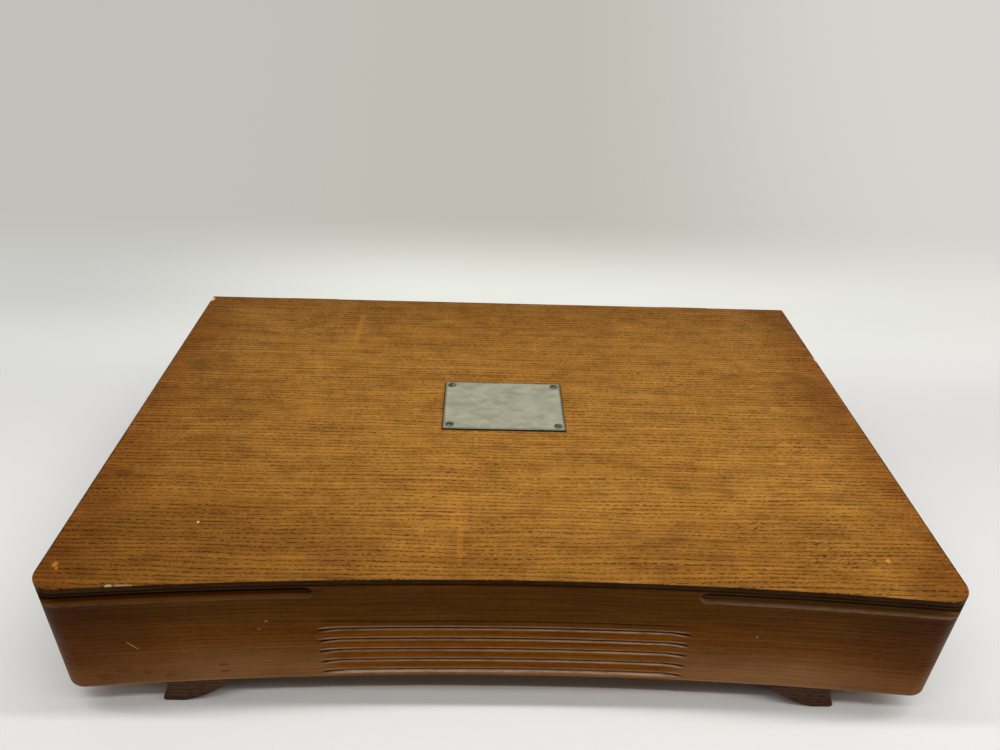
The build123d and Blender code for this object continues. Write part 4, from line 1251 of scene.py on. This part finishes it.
head_z = np.where(np.arange(26) < 13, dome, -screw_skirt - in_slot[:, None] * slot_depth)
screw_corners = [
    (sx * (half_x - screw_inset) + plaque_middle[0], sy * (half_y - screw_inset) + plaque_middle[1])
    for sx in (-1, 1)
    for sy in (-1, 1)
]
heads, head_faces = [], []
for number, ((x, y), turn) in enumerate(zip(screw_corners, slot_turns)):
    c, s = cos(radians(turn)), sin(radians(turn))
    turned = np.stack((c * head_x - s * head_y + x, s * head_x + c * head_y + y), -1)
    head = np.dstack((turned, head_z + plaque_high[2]))
    heads.append(head.reshape(-1, 3))
    head_faces += (np.array(loft(head)) + number * head_x.size).tolist()
plaque_heads = new_piece("plaque_screw_heads", np.vstack(heads), head_faces, dark_screw)
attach(plaque_heads, "lid")
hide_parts("plaque_screws")

# ---- Lid lining ----
# A padded panel of green velvet inside the lid, puffed a little between its turned edges.
pad_edge_width = 7.0
pad_ripple = 0.25
pad_step = 3.0

lid_velvet = baize("lid_velvet", linear((30, 94, 66)), linear((12, 58, 38)), nap=0.5)
pad_low, pad_high = box_mm("lid_lining")
pad_middle = (pad_low + pad_high) / 2
pad_reach = (pad_high - pad_low) / 2
pad_across = np.linspace(-1, 1, int(2 * pad_reach[0] / pad_step))
pad_up = np.linspace(-1, 1, int(2 * pad_reach[1] / pad_step))
pad_across, pad_up = (np.sin(part * np.pi / 2) * 0.25 + part * 0.75 for part in (pad_across, pad_up))
grid_x, grid_y = np.meshgrid(pad_across * pad_reach[0], pad_up * pad_reach[1])
# Thickness grows from the edge as a quarter circle does, sqrt(1 - (1 - d)^2), d being the
# distance to the nearest edge over the width of the turned edge
edge_x = np.clip((pad_reach[0] - np.abs(grid_x)) / pad_edge_width, 0, 1)
edge_y = np.clip((pad_reach[1] - np.abs(grid_y)) / pad_edge_width, 0, 1)
fullness = np.sqrt(1 - (1 - edge_x) ** 2) * np.sqrt(1 - (1 - edge_y) ** 2)
ripple = np.sin(grid_x / 17 + 1.3 * np.sin(grid_y / 23)) * np.sin(grid_y / 19 + grid_x / 41)
thick = (2 * pad_reach[2] - pad_ripple + pad_ripple * ripple) * fullness
pad_face = np.dstack((grid_x + pad_middle[0], grid_y + pad_middle[1], pad_high[2] - thick))
pad_back = pad_face * (1, 1, 0) + (0, 0, pad_high[2])
sections = np.concatenate((pad_face, pad_back[:, ::-1]), axis=1)
lid_pad = new_piece("lid_pad", sections, loft(sections), lid_velvet, sharp=80)
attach(lid_pad, "lid")
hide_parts("lid_lining")

# ---- Knife rack ----
# Covered softwood bars on the lid: notched ones take the handles near the front, and a
# stepped strip near the hinges makes a pocket for the blades.
bar_notch_pitch = 31.0
bar_notch_width = 16.0
bar_notch_depth = 10.0
ledge_spacer = 6.0
ledge_lip = 3.0

for name in ("handle_bar_left", "handle_bar_right"):
    low, high = box_mm(name)
    outline = notched_outline(
        low, high, bar_notch_pitch, bar_notch_width, bar_notch_depth, upwards=False
    )
    covered_board(name, softened(outline), (0, 2, 1), 1.3, rack_baize, "lid")

for name in ("blade_ledge_left", "blade_ledge_right"):
    low, high = box_mm(name)
    outline = np.array(
        [
            (high[1], high[2]),
            (high[1], low[2]),
            (low[1], low[2]),
            (low[1], low[2] + ledge_lip),
            (high[1] - ledge_spacer, low[2] + ledge_lip),
            (high[1] - ledge_spacer, high[2]),
        ]
    )
    outline = softened(outline, 0.4)
    covered_board(name, outline, (1, 2, 0), 0.6, rack_baize, "lid")

# ---- Hinges, stay and small fasteners ----
# Two five-knuckle brass butts on steel pins, and a slotted brass arm that slides on a
# stud and holds the lid open. Brass countersunk screws fix them.
old_brass = metal("old_brass", linear((196, 158, 88)), linear((126, 92, 44)), 0.3)
give(
    old_brass,
    "hinge_left_case_leaf",
    "hinge_left_lid_leaf",
    "hinge_right_case_leaf",
    "hinge_right_lid_leaf",
    "hinge_case_screws",
    "hinge_lid_screws",
    "stay_arm",
    "stay_bracket",
    "stay_plate",
    "stay_rivet",
    "stay_screws",
    "bracket_screws",
)
give(plain_steel, "hinge_left_pin", "hinge_right_pin")
